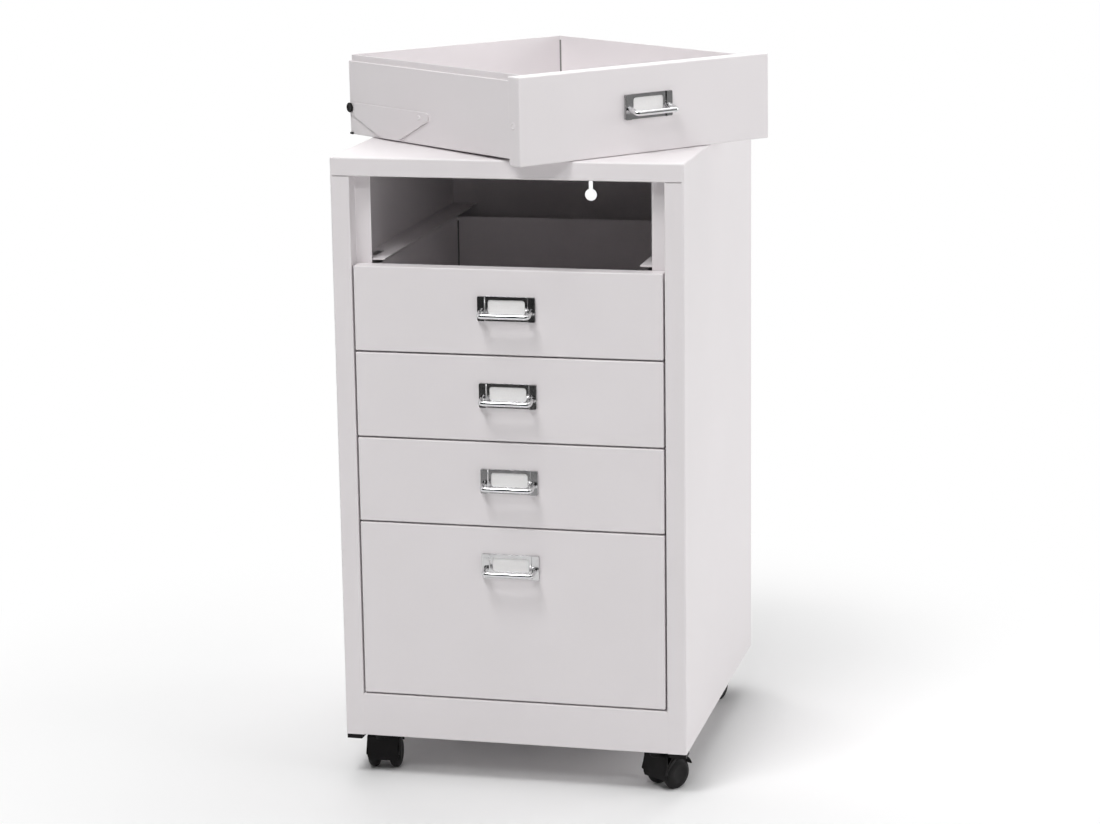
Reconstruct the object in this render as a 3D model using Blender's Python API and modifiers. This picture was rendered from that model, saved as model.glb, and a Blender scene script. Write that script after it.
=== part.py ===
"""Mobile office pedestal, modelled in metres with +Z up.

A folded steel case on four twin-wheel castors holds four drawers. The fifth drawer is lifted out and lies
turned on top of the case. The origin is on the floor, under the middle of the loose drawer's outline.
"""

import math

import bmesh
import bpy
from mathutils import Matrix, Vector

# Clearance between pieces that touch
CLEAR = 0.0003

# Case
CASE_WIDTH = 0.400
CASE_DEPTH = 0.430
CASE_X = -0.010
CASE_Y = 0.025
SHEET = 0.0012
BAND_HEIGHT = 0.021
POST_WIDTH = 0.022
JAMB_WIDTH = 0.018
POST_SEAM = 0.0005
PLINTH_HEIGHT = 0.050
PLINTH_FLANGE = 0.0165
PAN_FLANGE = 0.018
PAD_HEIGHT = 0.005
PAD_CHAMFER = 0.003
PAD_MARGIN = 0.0008

# Back panel's keyhole
KEYHOLE_DROP = 0.103
KEYHOLE_DIAMETER = 0.015
KEYHOLE_SLOT_WIDTH = 0.0052
KEYHOLE_SLOT_RISE = 0.024

# Runner panels
LINER_INSET = 0.024
LEDGE_BEARING = 0.011
LEDGE_THICKNESS = 0.0015
LEDGE_SLOT_SETBACK = 0.022
LEDGE_SLOT_LENGTH = 0.034
LEDGE_SLOT_WIDTH = 0.009

# Drawer fronts
SMALL_DRAWERS = 4
SMALL_FRONT_HEIGHT = 0.0964
BIG_FRONT_HEIGHT = 0.2024
FRONT_THICKNESS = 0.020
FRONT_GAP = 0.002
FRONT_SEAT = 0.001
FRONT_LAP = 0.011

# Drawer boxes
BOX_LENGTH = 0.340
BOX_RISE = 0.003
BOX_DROP = 0.001
BOX_SIDE_GAP = 0.003
BOX_SHEET = 0.001
LIP_HEIGHT = 0.005
LIP_STEP = 0.005
LIP_SLOPE = 0.0015
LIP_END_GAP = 0.003

# Pulls
PULL_DROP = 0.044
PLATE_WIDTH = 0.066
PLATE_HEIGHT = 0.028
PLATE_THICKNESS = 0.0015
PLATE_CORNER = 0.0015
FRAME_WIDTH = 0.049
FRAME_MARGIN = 0.0004
FRAME_RAISE = 0.0016
FRAME_CORNER = 0.001
WINDOW_WIDTH = 0.042
WINDOW_HEIGHT = 0.016
WINDOW_CORNER = 0.003
CARD_MARGIN = 0.002
CARD_THICKNESS = 0.0004
ROD_DIAMETER = 0.006
ROD_REACH = 0.016
ROD_DROP = 0.003
ROD_ROOT_DROP = 0.0018
ROD_BEND = 0.0065
ROD_FRAME_GAP = 0.0004

# Stop levers on the loose drawer
LEVER_THICKNESS = 0.0015
LEVER_LENGTH = 0.161
LEVER_HEIGHT = 0.0375
LEVER_BELLY = 0.001
LEVER_TAIL_HEIGHT = 0.0125
LEVER_NOSE_HEIGHT = 0.009
LEVER_BELLY_FRONT = 0.061
LEVER_BELLY_REAR = 0.096
LEVER_PIVOT_SETBACK = 0.018
LEVER_PIVOT_HEIGHT = 0.031
LEVER_END_GAP = 0.0015
ROLLER_DIAMETER = 0.0115
ROLLER_WIDTH = 0.0025
ROLLER_HEIGHT = 0.0315
ROLLER_SETBACK = 0.005
ROLLER_PIN_DIAMETER = 0.003

# Glides at the loose drawer's rear corners
GLIDE_LENGTH = 0.007
GLIDE_HEIGHT = 0.0026
GLIDE_THICKNESS = 0.0015
GLIDE_END_GAP = 0.001

# Loose drawer on top of the case
LOOSE_TURN = math.radians(50.3)

# Castors
WHEEL_RADIUS = 0.0185
WHEEL_WIDTH = 0.014
WHEEL_EDGE = 0.003
WHEEL_HUB_RADIUS = 0.012
WHEEL_HUB_SINK = 0.0008
WEB_THICKNESS = 0.010
WHEEL_SIDE_GAP = 0.0006
AXLE_DIAMETER = 0.005
CASTOR_TRAIL = 0.015
HOOD_GAP = 0.0015
HOOD_WALL = 0.002
HOOD_LEAD_ANGLE = math.radians(-12)
HOOD_TRAIL_ANGLE = math.radians(158)
WEB_LOW_RADIUS = 0.011
WEB_END_ANGLE = math.radians(8)
COLUMN_REACH = 0.0065
SWIVEL_RISE = 0.0065
SWIVEL_DISC_RADIUS = 0.010
SWIVEL_DISC_SINK = 0.0008
KING_PIN_DIAMETER = 0.006
KING_PIN_DEPTH = 0.0045
TOP_PLATE_SIZE = 0.030
TOP_PLATE_THICKNESS = 0.0024
PLATE_FRONT_SETBACK = 0.0085
PLATE_REAR_SETBACK = 0.040
FRONT_LEFT_ANGLE = math.radians(7)
FRONT_RIGHT_ANGLE = math.radians(-33.5)
REAR_LEFT_ANGLE = math.radians(204)
REAR_RIGHT_ANGLE = math.radians(168)

# Facets of round pieces
FINE_SEGMENTS = 32
COARSE_SEGMENTS = 16

# Heights and widths that follow from the sizes above
HOOD_OUTER_RADIUS = WHEEL_RADIUS + HOOD_GAP + HOOD_WALL
HOOD_TOP = WHEEL_RADIUS + HOOD_OUTER_RADIUS
SWIVEL_TOP = HOOD_TOP + SWIVEL_RISE
CASE_BOTTOM = SWIVEL_TOP + CLEAR + TOP_PLATE_THICKNESS + CLEAR
HALF_WIDTH = CASE_WIDTH / 2
HALF_DEPTH = CASE_DEPTH / 2
OPENING_HALF = HALF_WIDTH - POST_WIDTH
FRONT_HALF = OPENING_HALF - FRONT_GAP
JAMB_HALF = OPENING_HALF - JAMB_WIDTH
JAMB_RECESS = FRONT_THICKNESS + FRONT_SEAT
JAMB_FACE = -HALF_DEPTH + JAMB_RECESS
BOX_HALF = JAMB_HALF - BOX_SIDE_GAP
FRONT_FLANGE = FRONT_HALF - BOX_HALF + FRONT_LAP
LEDGE_HALF = BOX_HALF - LEDGE_BEARING
LINER_HALF = HALF_WIDTH - LINER_INSET
INSIDE_HALF = HALF_WIDTH - SHEET - CLEAR
BIG_BOTTOM = CASE_BOTTOM + PLINTH_HEIGHT + FRONT_GAP
SMALL_BOTTOM = BIG_BOTTOM + BIG_FRONT_HEIGHT + FRONT_GAP
SMALL_PITCH = SMALL_FRONT_HEIGHT + FRONT_GAP
BAND_BOTTOM = SMALL_BOTTOM + SMALL_DRAWERS * SMALL_PITCH
CASE_TOP = BAND_BOTTOM + BAND_HEIGHT
POST_TOP = BAND_BOTTOM - POST_SEAM
BACK_FACE = HALF_DEPTH - SHEET
DRAWER_LENGTH = FRONT_THICKNESS + BOX_LENGTH
WHEEL_INNER = WEB_THICKNESS / 2 + WHEEL_SIDE_GAP
WHEEL_OUTER = WHEEL_INNER + WHEEL_WIDTH
FRONT_BOTTOMS = [BIG_BOTTOM] + [SMALL_BOTTOM + step * SMALL_PITCH for step in range(SMALL_DRAWERS)]

PART_COLLECTION = "mobile_pedestal"
CUTTER_COLLECTION = "cutters"


def clear_scene():
    """Removes every object, so that the script can run again in the same file."""
    for obj in list(bpy.data.objects):
        bpy.data.objects.remove(obj, do_unlink=True)
    for group in list(bpy.data.collections):
        bpy.data.collections.remove(group)


def new_collection(name):
    """Makes a collection under the scene's own."""
    group = bpy.data.collections.new(name)
    bpy.context.scene.collection.children.link(group)
    return group


def make_material(name, colour, roughness, metallic):
    """Makes a Principled material with one colour."""
    material = bpy.data.materials.new(name)
    material.use_nodes = True
    shader = material.node_tree.nodes["Principled BSDF"]
    shader.inputs["Base Color"].default_value = (*colour, 1.0)
    shader.inputs["Roughness"].default_value = roughness
    shader.inputs["Metallic"].default_value = metallic
    return material


def make_empty(name, parent=None, location=(0, 0, 0), rotation=(0, 0, 0)):
    """Places an empty that carries pieces."""
    empty = bpy.data.objects.new(name, None)
    empty.empty_display_size = 0.02
    empty.location = location
    empty.rotation_euler = rotation
    empty.parent = parent
    bpy.data.collections[PART_COLLECTION].objects.link(empty)
    return empty


def add_part(name, data, material, parent, location=(0, 0, 0)):
    """Adds a piece to the part's collection."""
    obj = bpy.data.objects.new(name, data)
    obj.location = location
    obj.parent = parent
    data.materials.append(bpy.data.materials[material])
    bpy.data.collections[PART_COLLECTION].objects.link(obj)
    return obj


def add_cutter(name, data, like):
    """Adds a tool body that stands in the same frame as the piece it cuts or joins."""
    tool = bpy.data.objects.new(name, data)
    tool.parent = like.parent
    tool.location = like.location
    tool.hide_render = True
    tool.display_type = "WIRE"
    bpy.data.collections[CUTTER_COLLECTION].objects.link(tool)
    return tool


def combine(piece, data, operation):
    """Cuts a mesh out of a piece, or joins it to the piece."""
    tool = add_cutter(f"{piece.name}_tool_{len(piece.modifiers)}", data, piece)
    modifier = piece.modifiers.new(operation.lower(), "BOOLEAN")
    modifier.operation = operation
    modifier.solver = "EXACT"
    modifier.object = tool


def cut(piece, data):
    """Takes a mesh away from a piece."""
    combine(piece, data, "DIFFERENCE")


def join(piece, data):
    """Adds a mesh to a piece."""
    combine(piece, data, "UNION")


def to_mesh(bm, name, smooth_angle=None):
    """Turns a bmesh into a mesh, with smooth shading below an angle where one is given."""
    mesh = bpy.data.meshes.new(name)
    bm.to_mesh(mesh)
    bm.free()
    if smooth_angle is not None:
        mesh.shade_smooth()
        mesh.set_sharp_from_angle(angle=smooth_angle)
    return mesh


def block(name, low, high):
    """Makes a box between two corners."""
    bm = bmesh.new()
    size = Vector(high) - Vector(low)
    middle = (Vector(high) + Vector(low)) / 2
    bmesh.ops.create_cube(bm, size=1.0, matrix=Matrix.Translation(middle) @ Matrix.Diagonal((*size, 1.0)))
    return to_mesh(bm, name)


def rod(name, radius, start, end, segments=COARSE_SEGMENTS):
    """Makes a solid cylinder between two points."""
    bm = bmesh.new()
    axis = Vector(end) - Vector(start)
    turn = Vector((0, 0, 1)).rotation_difference(axis).to_matrix().to_4x4()
    place = Matrix.Translation((Vector(start) + Vector(end)) / 2) @ turn
    bmesh.ops.create_cone(
        bm, cap_ends=True, segments=segments, radius1=radius, radius2=radius, depth=axis.length, matrix=place
    )
    return to_mesh(bm, name, math.radians(40))


def prism(name, outline, low, high, plane):
    """Extrudes a flat outline square to its plane, from low to high.

    The plane is XZ, with the extrusion along Y, or YZ, with the extrusion along X.
    """
    curve = bpy.data.curves.new(name, "CURVE")
    curve.dimensions = "2D"
    curve.fill_mode = "BOTH"
    curve.extrude = (high - low) / 2
    spline = curve.splines.new("POLY")
    spline.points.add(len(outline) - 1)
    for point, (across, up) in zip(spline.points, outline):
        point.co = (across, up, 0, 1)
    spline.use_cyclic_u = True
    guide = bpy.data.objects.new(name, curve)
    bpy.data.collections[CUTTER_COLLECTION].objects.link(guide)
    graph = bpy.context.evaluated_depsgraph_get()
    mesh = bpy.data.meshes.new_from_object(guide.evaluated_get(graph))
    bpy.data.objects.remove(guide, do_unlink=True)
    middle = (low + high) / 2
    axes = {
        "XZ": ((1, 0, 0, 0), (0, 0, -1, middle), (0, 1, 0, 0), (0, 0, 0, 1)),
        "YZ": ((0, 0, 1, middle), (1, 0, 0, 0), (0, 1, 0, 0), (0, 0, 0, 1)),
    }
    bm = bmesh.new()
    bm.from_mesh(mesh)
    bpy.data.meshes.remove(mesh)
    bmesh.ops.remove_doubles(bm, verts=bm.verts[:], dist=1e-6)
    bmesh.ops.transform(bm, matrix=Matrix(axes[plane]), verts=bm.verts[:])
    bmesh.ops.recalc_face_normals(bm, faces=bm.faces[:])
    return to_mesh(bm, name, math.radians(40))


def arc(centre, radius, start, end, steps):
    """Gives points along an arc of a flat outline."""
    points = []
    for step in range(steps + 1):
        angle = start + (end - start) * step / steps
        points.append((centre[0] + radius * math.cos(angle), centre[1] + radius * math.sin(angle)))
    return points


def rounded_rectangle(width, height, corner, centre=(0, 0), steps=4):
    """Gives the outline of a rectangle with round corners."""
    points = []
    for quarter, (side, rise) in enumerate(((1, 1), (-1, 1), (-1, -1), (1, -1))):
        hub = (centre[0] + side * (width / 2 - corner), centre[1] + rise * (height / 2 - corner))
        points += arc(hub, corner, quarter * math.pi / 2, (quarter + 1) * math.pi / 2, steps)
    return points


def add_patch(bm, first, second, third):
    """Adds a grid of faces: two of the three lists give the breaks, the other a single place."""
    breaks = [first, second, third]
    flat = next(index for index, values in enumerate(breaks) if len(values) == 1)
    run, rise = [index for index in range(3) if index != flat]
    for left, right in zip(breaks[run], breaks[run][1:]):
        for low, high in zip(breaks[rise], breaks[rise][1:]):
            corners = []
            for along, up in ((left, low), (right, low), (right, high), (left, high)):
                point = Vector((0, 0, 0))
                point[flat] = breaks[flat][0]
                point[run] = along
                point[rise] = up
                corners.append(bm.verts.new(point))
            bm.faces.new(corners)


def sheet_piece(name, bm, thickness, material, parent):
    """Folds a surface of sheet: the surface is the outside, and the thickness goes inward."""
    obj = add_part(name, to_mesh(bm, name), material, parent)
    modifier = obj.modifiers.new("sheet", "SOLIDIFY")
    modifier.thickness = thickness
    modifier.offset = -1.0
    modifier.use_even_offset = True
    modifier.use_rim = True
    return obj


def face_out(bm, axis, side):
    """Turns the faces of an open surface so that the one furthest along an axis points that way."""
    bmesh.ops.recalc_face_normals(bm, faces=bm.faces[:])
    bm.normal_update()
    outermost = max(bm.faces, key=lambda face: side * face.calc_center_median()[axis])
    if side * outermost.normal[axis] < 0:
        bmesh.ops.reverse_faces(bm, faces=bm.faces[:])


def open_tray(low, high, open_axis, open_side):
    """Makes a box surface between two corners, with one side left open."""
    bm = bmesh.new()
    size = Vector(high) - Vector(low)
    middle = (Vector(high) + Vector(low)) / 2
    bmesh.ops.create_cube(bm, size=1.0, matrix=Matrix.Translation(middle) @ Matrix.Diagonal((*size, 1.0)))
    bm.normal_update()
    away = [face for face in bm.faces if face.normal[open_axis] * open_side > 0.5]
    bmesh.ops.delete(bm, geom=away, context="FACES_ONLY")
    return bm


def build_wrapper(parent):
    """Folds the top, the sides, the front band, the posts and the jambs from one sheet."""
    bm = bmesh.new()
    across = [-HALF_WIDTH, -OPENING_HALF, OPENING_HALF, HALF_WIDTH]
    add_patch(bm, across, [-HALF_DEPTH, HALF_DEPTH], [CASE_TOP])
    add_patch(bm, across, [-HALF_DEPTH], [BAND_BOTTOM, CASE_TOP])
    add_patch(bm, across[1:3], [-HALF_DEPTH, JAMB_FACE], [BAND_BOTTOM])
    for side in (-1, 1):
        wall = [CASE_BOTTOM, POST_TOP, BAND_BOTTOM, CASE_TOP]
        post = sorted((side * HALF_WIDTH, side * OPENING_HALF))
        jamb = sorted((side * OPENING_HALF, side * JAMB_HALF))
        add_patch(bm, [side * HALF_WIDTH], [-HALF_DEPTH, HALF_DEPTH], wall)
        add_patch(bm, post, [-HALF_DEPTH], wall[:2])
        add_patch(bm, [side * OPENING_HALF], [-HALF_DEPTH, JAMB_FACE], wall[:2])
        add_patch(bm, jamb, [JAMB_FACE], wall[:2])
    bmesh.ops.remove_doubles(bm, verts=bm.verts[:], dist=1e-6)
    face_out(bm, 2, 1)
    sheet_piece("case_wrapper", bm, SHEET, "white_paint", parent)


def build_back_panel(parent):
    """Closes the rear of the case with a sheet that has one keyhole."""
    panel = add_part(
        "back_panel",
        block(
            "back_panel",
            (-INSIDE_HALF, BACK_FACE, CASE_BOTTOM),
            (INSIDE_HALF, HALF_DEPTH, CASE_TOP - SHEET - CLEAR),
        ),
        "white_paint",
        parent,
    )
    hub = (0, CASE_TOP - KEYHOLE_DROP)
    hole_radius = KEYHOLE_DIAMETER / 2
    slot_radius = KEYHOLE_SLOT_WIDTH / 2
    throat = math.asin(slot_radius / hole_radius)
    slot_end = (hub[0], hub[1] + KEYHOLE_SLOT_RISE - slot_radius)
    outline = arc(hub, hole_radius, math.pi / 2 + throat, 2.5 * math.pi - throat, FINE_SEGMENTS)
    outline += arc(slot_end, slot_radius, 0, math.pi, COARSE_SEGMENTS // 2)
    cut(panel, prism("keyhole", outline, BACK_FACE - SHEET, HALF_DEPTH + SHEET, "XZ"))


def build_base_pan(parent):
    """Folds the pan that carries the castors, with a flange up each side."""
    bm = bmesh.new()
    front = JAMB_FACE + SHEET + CLEAR
    rear = BACK_FACE - CLEAR
    add_patch(bm, [-INSIDE_HALF, INSIDE_HALF], [front, rear], [CASE_BOTTOM])
    for side in (-1, 1):
        flange = [CASE_BOTTOM, CASE_BOTTOM + PAN_FLANGE]
        add_patch(bm, [side * INSIDE_HALF], [front, rear], flange)
    bmesh.ops.remove_doubles(bm, verts=bm.verts[:], dist=1e-6)
    face_out(bm, 2, -1)
    sheet_piece("base_pan", bm, SHEET, "white_paint", parent)


def build_plinth(parent):
    """Folds the rail between the posts under the bottom drawer."""
    bm = bmesh.new()
    across = [-OPENING_HALF + CLEAR, OPENING_HALF - CLEAR]
    top = CASE_BOTTOM + PLINTH_HEIGHT
    back = -HALF_DEPTH + PLINTH_FLANGE
    add_patch(bm, across, [-HALF_DEPTH], [CASE_BOTTOM, top])
    add_patch(bm, across, [-HALF_DEPTH, back], [top])
    add_patch(bm, across, [-HALF_DEPTH, back], [CASE_BOTTOM])
    bmesh.ops.remove_doubles(bm, verts=bm.verts[:], dist=1e-6)
    face_out(bm, 1, -1)
    sheet_piece("plinth_rail", bm, SHEET, "white_paint", parent)


def build_liner(name, side, parent):
    """Makes a runner panel: a wall with a ledge under each drawer, and a slot near each ledge's front."""
    outer = LINER_HALF + SHEET
    floor = CASE_BOTTOM + SHEET + CLEAR
    ceiling = CASE_TOP - SHEET - CLEAR
    outline = [(outer, ceiling), (outer, floor), (LINER_HALF, floor)]
    ledge_tops = [bottom + BOX_RISE - CLEAR for bottom in FRONT_BOTTOMS]
    for top in ledge_tops:
        low = top - LEDGE_THICKNESS
        outline += [(LINER_HALF, low), (LEDGE_HALF, low), (LEDGE_HALF, top), (LINER_HALF, top)]
    outline.append((LINER_HALF, ceiling))
    front = JAMB_FACE + SHEET + CLEAR
    comb = [(side * across, up) for across, up in outline]
    panel = add_part(name, prism(name, comb, front, BACK_FACE - CLEAR, "XZ"), "white_paint", parent)
    middle = side * (LINER_HALF + BOX_HALF) / 2
    for top in ledge_tops:
        low = (middle - LEDGE_SLOT_WIDTH / 2, front + LEDGE_SLOT_SETBACK, top - 2 * LEDGE_THICKNESS)
        high = (middle + LEDGE_SLOT_WIDTH / 2, low[1] + LEDGE_SLOT_LENGTH, top + LEDGE_THICKNESS)
        cut(panel, block("ledge_slot", low, high))


def build_pad(name, side, parent):
    """Makes the black pad under a front post, with a chamfered inner end."""
    outer = HALF_WIDTH - PAD_MARGIN
    inner = OPENING_HALF + PAD_MARGIN
    top = CASE_BOTTOM - CLEAR
    low = top - PAD_HEIGHT
    outline = [(outer, top), (outer, low), (inner + PAD_CHAMFER, low), (inner, low + PAD_CHAMFER)]
    outline.append((inner, top))
    shape = [(side * across, up) for across, up in outline]
    front = -HALF_DEPTH + PAD_MARGIN
    add_part(name, prism(name, shape, front, JAMB_FACE - PAD_MARGIN, "XZ"), "black_plastic", parent)


def build_front(name, height, parent):
    """Folds a drawer front: a face, a return on each edge and a flange behind, which the box is welded to."""
    bm = open_tray((-FRONT_HALF, 0, 0), (FRONT_HALF, FRONT_THICKNESS, height), 1, 1)
    rim = [edge for edge in bm.edges if edge.is_boundary]
    flange = bmesh.ops.extrude_edge_only(bm, edges=rim)["geom"]
    for item in flange:
        if isinstance(item, bmesh.types.BMVert):
            item.co.x -= math.copysign(FRONT_FLANGE, item.co.x)
            item.co.z += math.copysign(FRONT_FLANGE, height / 2 - item.co.z)
    face_out(bm, 1, -1)
    sheet_piece(name, bm, SHEET, "white_paint", parent)


def build_box(name, height, parent):
    """Folds a drawer box: a floor and four walls, with a lip on three walls that steps in at the sides."""
    skin_top = height - BOX_DROP - LIP_HEIGHT - LIP_SLOPE
    front = FRONT_THICKNESS + CLEAR
    bm = open_tray((-BOX_HALF, front, BOX_RISE), (BOX_HALF, DRAWER_LENGTH, skin_top), 2, 1)
    middle = (front + DRAWER_LENGTH) / 2
    rim = [
        edge for edge in bm.edges if edge.is_boundary and any(vert.co.y > middle for vert in edge.verts)
    ]
    step = bmesh.ops.extrude_edge_only(bm, edges=rim)["geom"]
    step_verts = [item for item in step if isinstance(item, bmesh.types.BMVert)]
    for vert in step_verts:
        vert.co.x -= math.copysign(LIP_STEP, vert.co.x)
        vert.co.z += LIP_SLOPE
        if vert.co.y < middle:
            vert.co.y += LIP_END_GAP
    top_edges = [
        item
        for item in step
        if isinstance(item, bmesh.types.BMEdge) and all(vert in step_verts for vert in item.verts)
    ]
    lip = bmesh.ops.extrude_edge_only(bm, edges=top_edges)["geom"]
    for item in lip:
        if isinstance(item, bmesh.types.BMVert):
            item.co.z += LIP_HEIGHT
    face_out(bm, 2, -1)
    sheet_piece(name, bm, BOX_SHEET, "white_paint", parent)


def build_pull(prefix, height, parent):
    """Makes the label plate with its card frame, the card behind the window, and the rod pull."""
    centre = (0, height - PULL_DROP)
    back = -CLEAR
    face = back - PLATE_THICKNESS
    frame_face = face - FRAME_RAISE
    flat = rounded_rectangle(PLATE_WIDTH, PLATE_HEIGHT, PLATE_CORNER, centre)
    plate = add_part(f"{prefix}_pull_plate", prism("plate", flat, face, back, "XZ"), "chrome", parent)
    frame = rounded_rectangle(FRAME_WIDTH, PLATE_HEIGHT - 2 * FRAME_MARGIN, FRAME_CORNER, centre)
    join(plate, prism("frame", frame, frame_face, face + PLATE_THICKNESS / 2, "XZ"))
    window = rounded_rectangle(WINDOW_WIDTH, WINDOW_HEIGHT, WINDOW_CORNER, centre)
    cut(plate, prism("window", window, frame_face - PLATE_THICKNESS, back + PLATE_THICKNESS, "XZ"))
    card_half = Vector((WINDOW_WIDTH / 2 + CARD_MARGIN, 0, WINDOW_HEIGHT / 2 + CARD_MARGIN))
    card_middle = Vector((centre[0], 0, centre[1]))
    pocket = CARD_THICKNESS + 2 * CLEAR
    room = Vector((CLEAR, 0, CLEAR))
    pocket_low = card_middle - card_half - room + Vector((0, back - pocket, 0))
    pocket_high = card_middle + card_half + room + Vector((0, back + PLATE_THICKNESS, 0))
    cut(plate, block("card_pocket", pocket_low, pocket_high))
    card_low = card_middle - card_half + Vector((0, back - CARD_THICKNESS, 0))
    add_part(
        f"{prefix}_label_card",
        block("label_card", card_low, card_middle + card_half + Vector((0, back, 0))),
        "white_card",
        parent,
    )
    radius = ROD_DIAMETER / 2
    reach = FRAME_WIDTH / 2 + ROD_FRAME_GAP + radius
    slope = math.atan2(ROD_DROP, ROD_REACH)
    lead = Vector((0, math.cos(slope), math.sin(slope)))
    root = Vector((reach, face - CLEAR - radius * math.sin(slope), centre[1] - ROD_ROOT_DROP))
    elbow = root - lead * (root.y - face + ROD_REACH) / lead.y
    path = [root]
    turns = 4
    for step in range(turns + 1):
        angle = math.pi / 2 * step / turns
        inward = ROD_BEND * (1 - math.cos(angle))
        back_off = ROD_BEND * (1 - math.sin(angle))
        path.append(elbow + lead * back_off - Vector((inward, 0, 0)))
    path += [Vector((-point.x, point.y, point.z)) for point in reversed(path)]
    curve = bpy.data.curves.new(f"{prefix}_pull_bar", "CURVE")
    curve.dimensions = "3D"
    curve.bevel_depth = radius
    curve.bevel_resolution = 3
    curve.use_fill_caps = True
    spline = curve.splines.new("POLY")
    spline.points.add(len(path) - 1)
    spline.use_smooth = True
    for point, place in zip(spline.points, path):
        point.co = (*place, 1)
    add_part(f"{prefix}_pull_bar", curve, "chrome", parent)


def build_drawer(prefix, height, parent):
    """Builds one drawer in its own frame: face at y 0, front's lower edge at z 0, middle at x 0."""
    build_front(f"{prefix}_front", height, parent)
    build_box(f"{prefix}_box", height, parent)
    build_pull(prefix, height, parent)


def build_stop_lever(prefix, side, parent):
    """Hangs a stop lever on one side of the loose drawer's box, with a roller on its rear end."""
    rear = DRAWER_LENGTH - LEVER_END_GAP
    nose = rear - LEVER_LENGTH
    low = BOX_RISE
    pivot = Vector((side * (BOX_HALF + CLEAR), nose + LEVER_PIVOT_SETBACK, low + LEVER_PIVOT_HEIGHT))
    hinge = make_empty(f"{prefix}_pivot", parent, pivot)
    outline = [
        (rear, low + LEVER_HEIGHT),
        (nose, low + LEVER_HEIGHT),
        (nose, low + LEVER_HEIGHT - LEVER_NOSE_HEIGHT),
        (nose + LEVER_BELLY_FRONT, low + LEVER_BELLY),
        (nose + LEVER_BELLY_REAR, low + LEVER_BELLY),
        (rear, low + LEVER_HEIGHT - LEVER_TAIL_HEIGHT),
    ]
    shape = [(along - pivot.y, up - pivot.z) for along, up in outline]
    faces = sorted((0, side * LEVER_THICKNESS))
    lever = add_part(f"{prefix}_lever", prism(f"{prefix}_lever", shape, *faces, "YZ"), "white_paint", hinge)
    hub_along = DRAWER_LENGTH - ROLLER_SETBACK
    spot = Vector((0, hub_along - pivot.y, low + ROLLER_HEIGHT - pivot.z))
    roller_in = side * (LEVER_THICKNESS + CLEAR)
    roller_out = side * (LEVER_THICKNESS + CLEAR + ROLLER_WIDTH)
    pin_start = spot + Vector((side * LEVER_THICKNESS / 2, 0, 0))
    pin_radius = ROLLER_PIN_DIAMETER / 2
    join(lever, rod("roller_pin", pin_radius, pin_start, spot + Vector((roller_out, 0, 0))))
    hub = make_empty(f"{prefix}_roller_hub", hinge, spot)
    ends = (Vector((roller_in, 0, 0)), Vector((roller_out, 0, 0)))
    roller = add_part(
        f"{prefix}_roller", rod("roller", ROLLER_DIAMETER / 2, *ends, FINE_SEGMENTS), "black_plastic", hub
    )
    reach = Vector((side * ROLLER_WIDTH, 0, 0))
    cut(roller, rod("roller_bore", pin_radius + CLEAR, ends[0] - reach, ends[1] + reach))


def build_glide(name, side, parent):
    """Makes the black glide on the outside of the loose drawer's box, low at its rear corner."""
    inner = side * (BOX_HALF + CLEAR)
    outer = inner + side * GLIDE_THICKNESS
    rear = DRAWER_LENGTH - GLIDE_END_GAP
    low = (min(inner, outer), rear - GLIDE_LENGTH, BOX_RISE)
    high = (max(inner, outer), rear, BOX_RISE + GLIDE_HEIGHT)
    add_part(name, block(name, low, high), "black_plastic", parent)


def build_wheel(name, side, parent):
    """Turns a castor wheel round its own axis: rounded tread, sunken hub face and a bore for the axle."""
    bore = AXLE_DIAMETER / 2 + CLEAR
    half = WHEEL_WIDTH / 2
    profile = [(WHEEL_HUB_RADIUS, half)]
    profile += arc((WHEEL_RADIUS - WHEEL_EDGE, half - WHEEL_EDGE), WHEEL_EDGE, math.pi / 2, 0, 3)
    profile += arc((WHEEL_RADIUS - WHEEL_EDGE, WHEEL_EDGE - half), WHEEL_EDGE, 0, -math.pi / 2, 3)
    profile += [(bore, -half), (bore, half - WHEEL_HUB_SINK), (WHEEL_HUB_RADIUS, half - WHEEL_HUB_SINK)]
    mesh = bpy.data.meshes.new(name)
    edges = [(index, (index + 1) % len(profile)) for index in range(len(profile))]
    mesh.from_pydata([(across, 0, up) for across, up in profile], edges, [])
    wheel = add_part(name, mesh, "black_rubber", parent, (side * (WHEEL_INNER + half), 0, 0))
    wheel.rotation_euler = (0, side * math.pi / 2, 0)
    screw = wheel.modifiers.new("turn", "SCREW")
    screw.axis = "Z"
    screw.steps = FINE_SEGMENTS
    screw.render_steps = FINE_SEGMENTS
    screw.use_merge_vertices = True
    screw.merge_threshold = 0.00001
    screw.use_smooth_shade = True


def axle_point(angle, radius):
    """Gives a point round the axle in the castor's side view, from the leading side upward."""
    return (CASTOR_TRAIL - radius * math.cos(angle), WHEEL_RADIUS + radius * math.sin(angle))


def axle_arc(radius, start, end, steps):
    """Gives an arc round the axle in the castor's side view."""
    return [axle_point(start + (end - start) * step / steps, radius) for step in range(steps + 1)]


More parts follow.
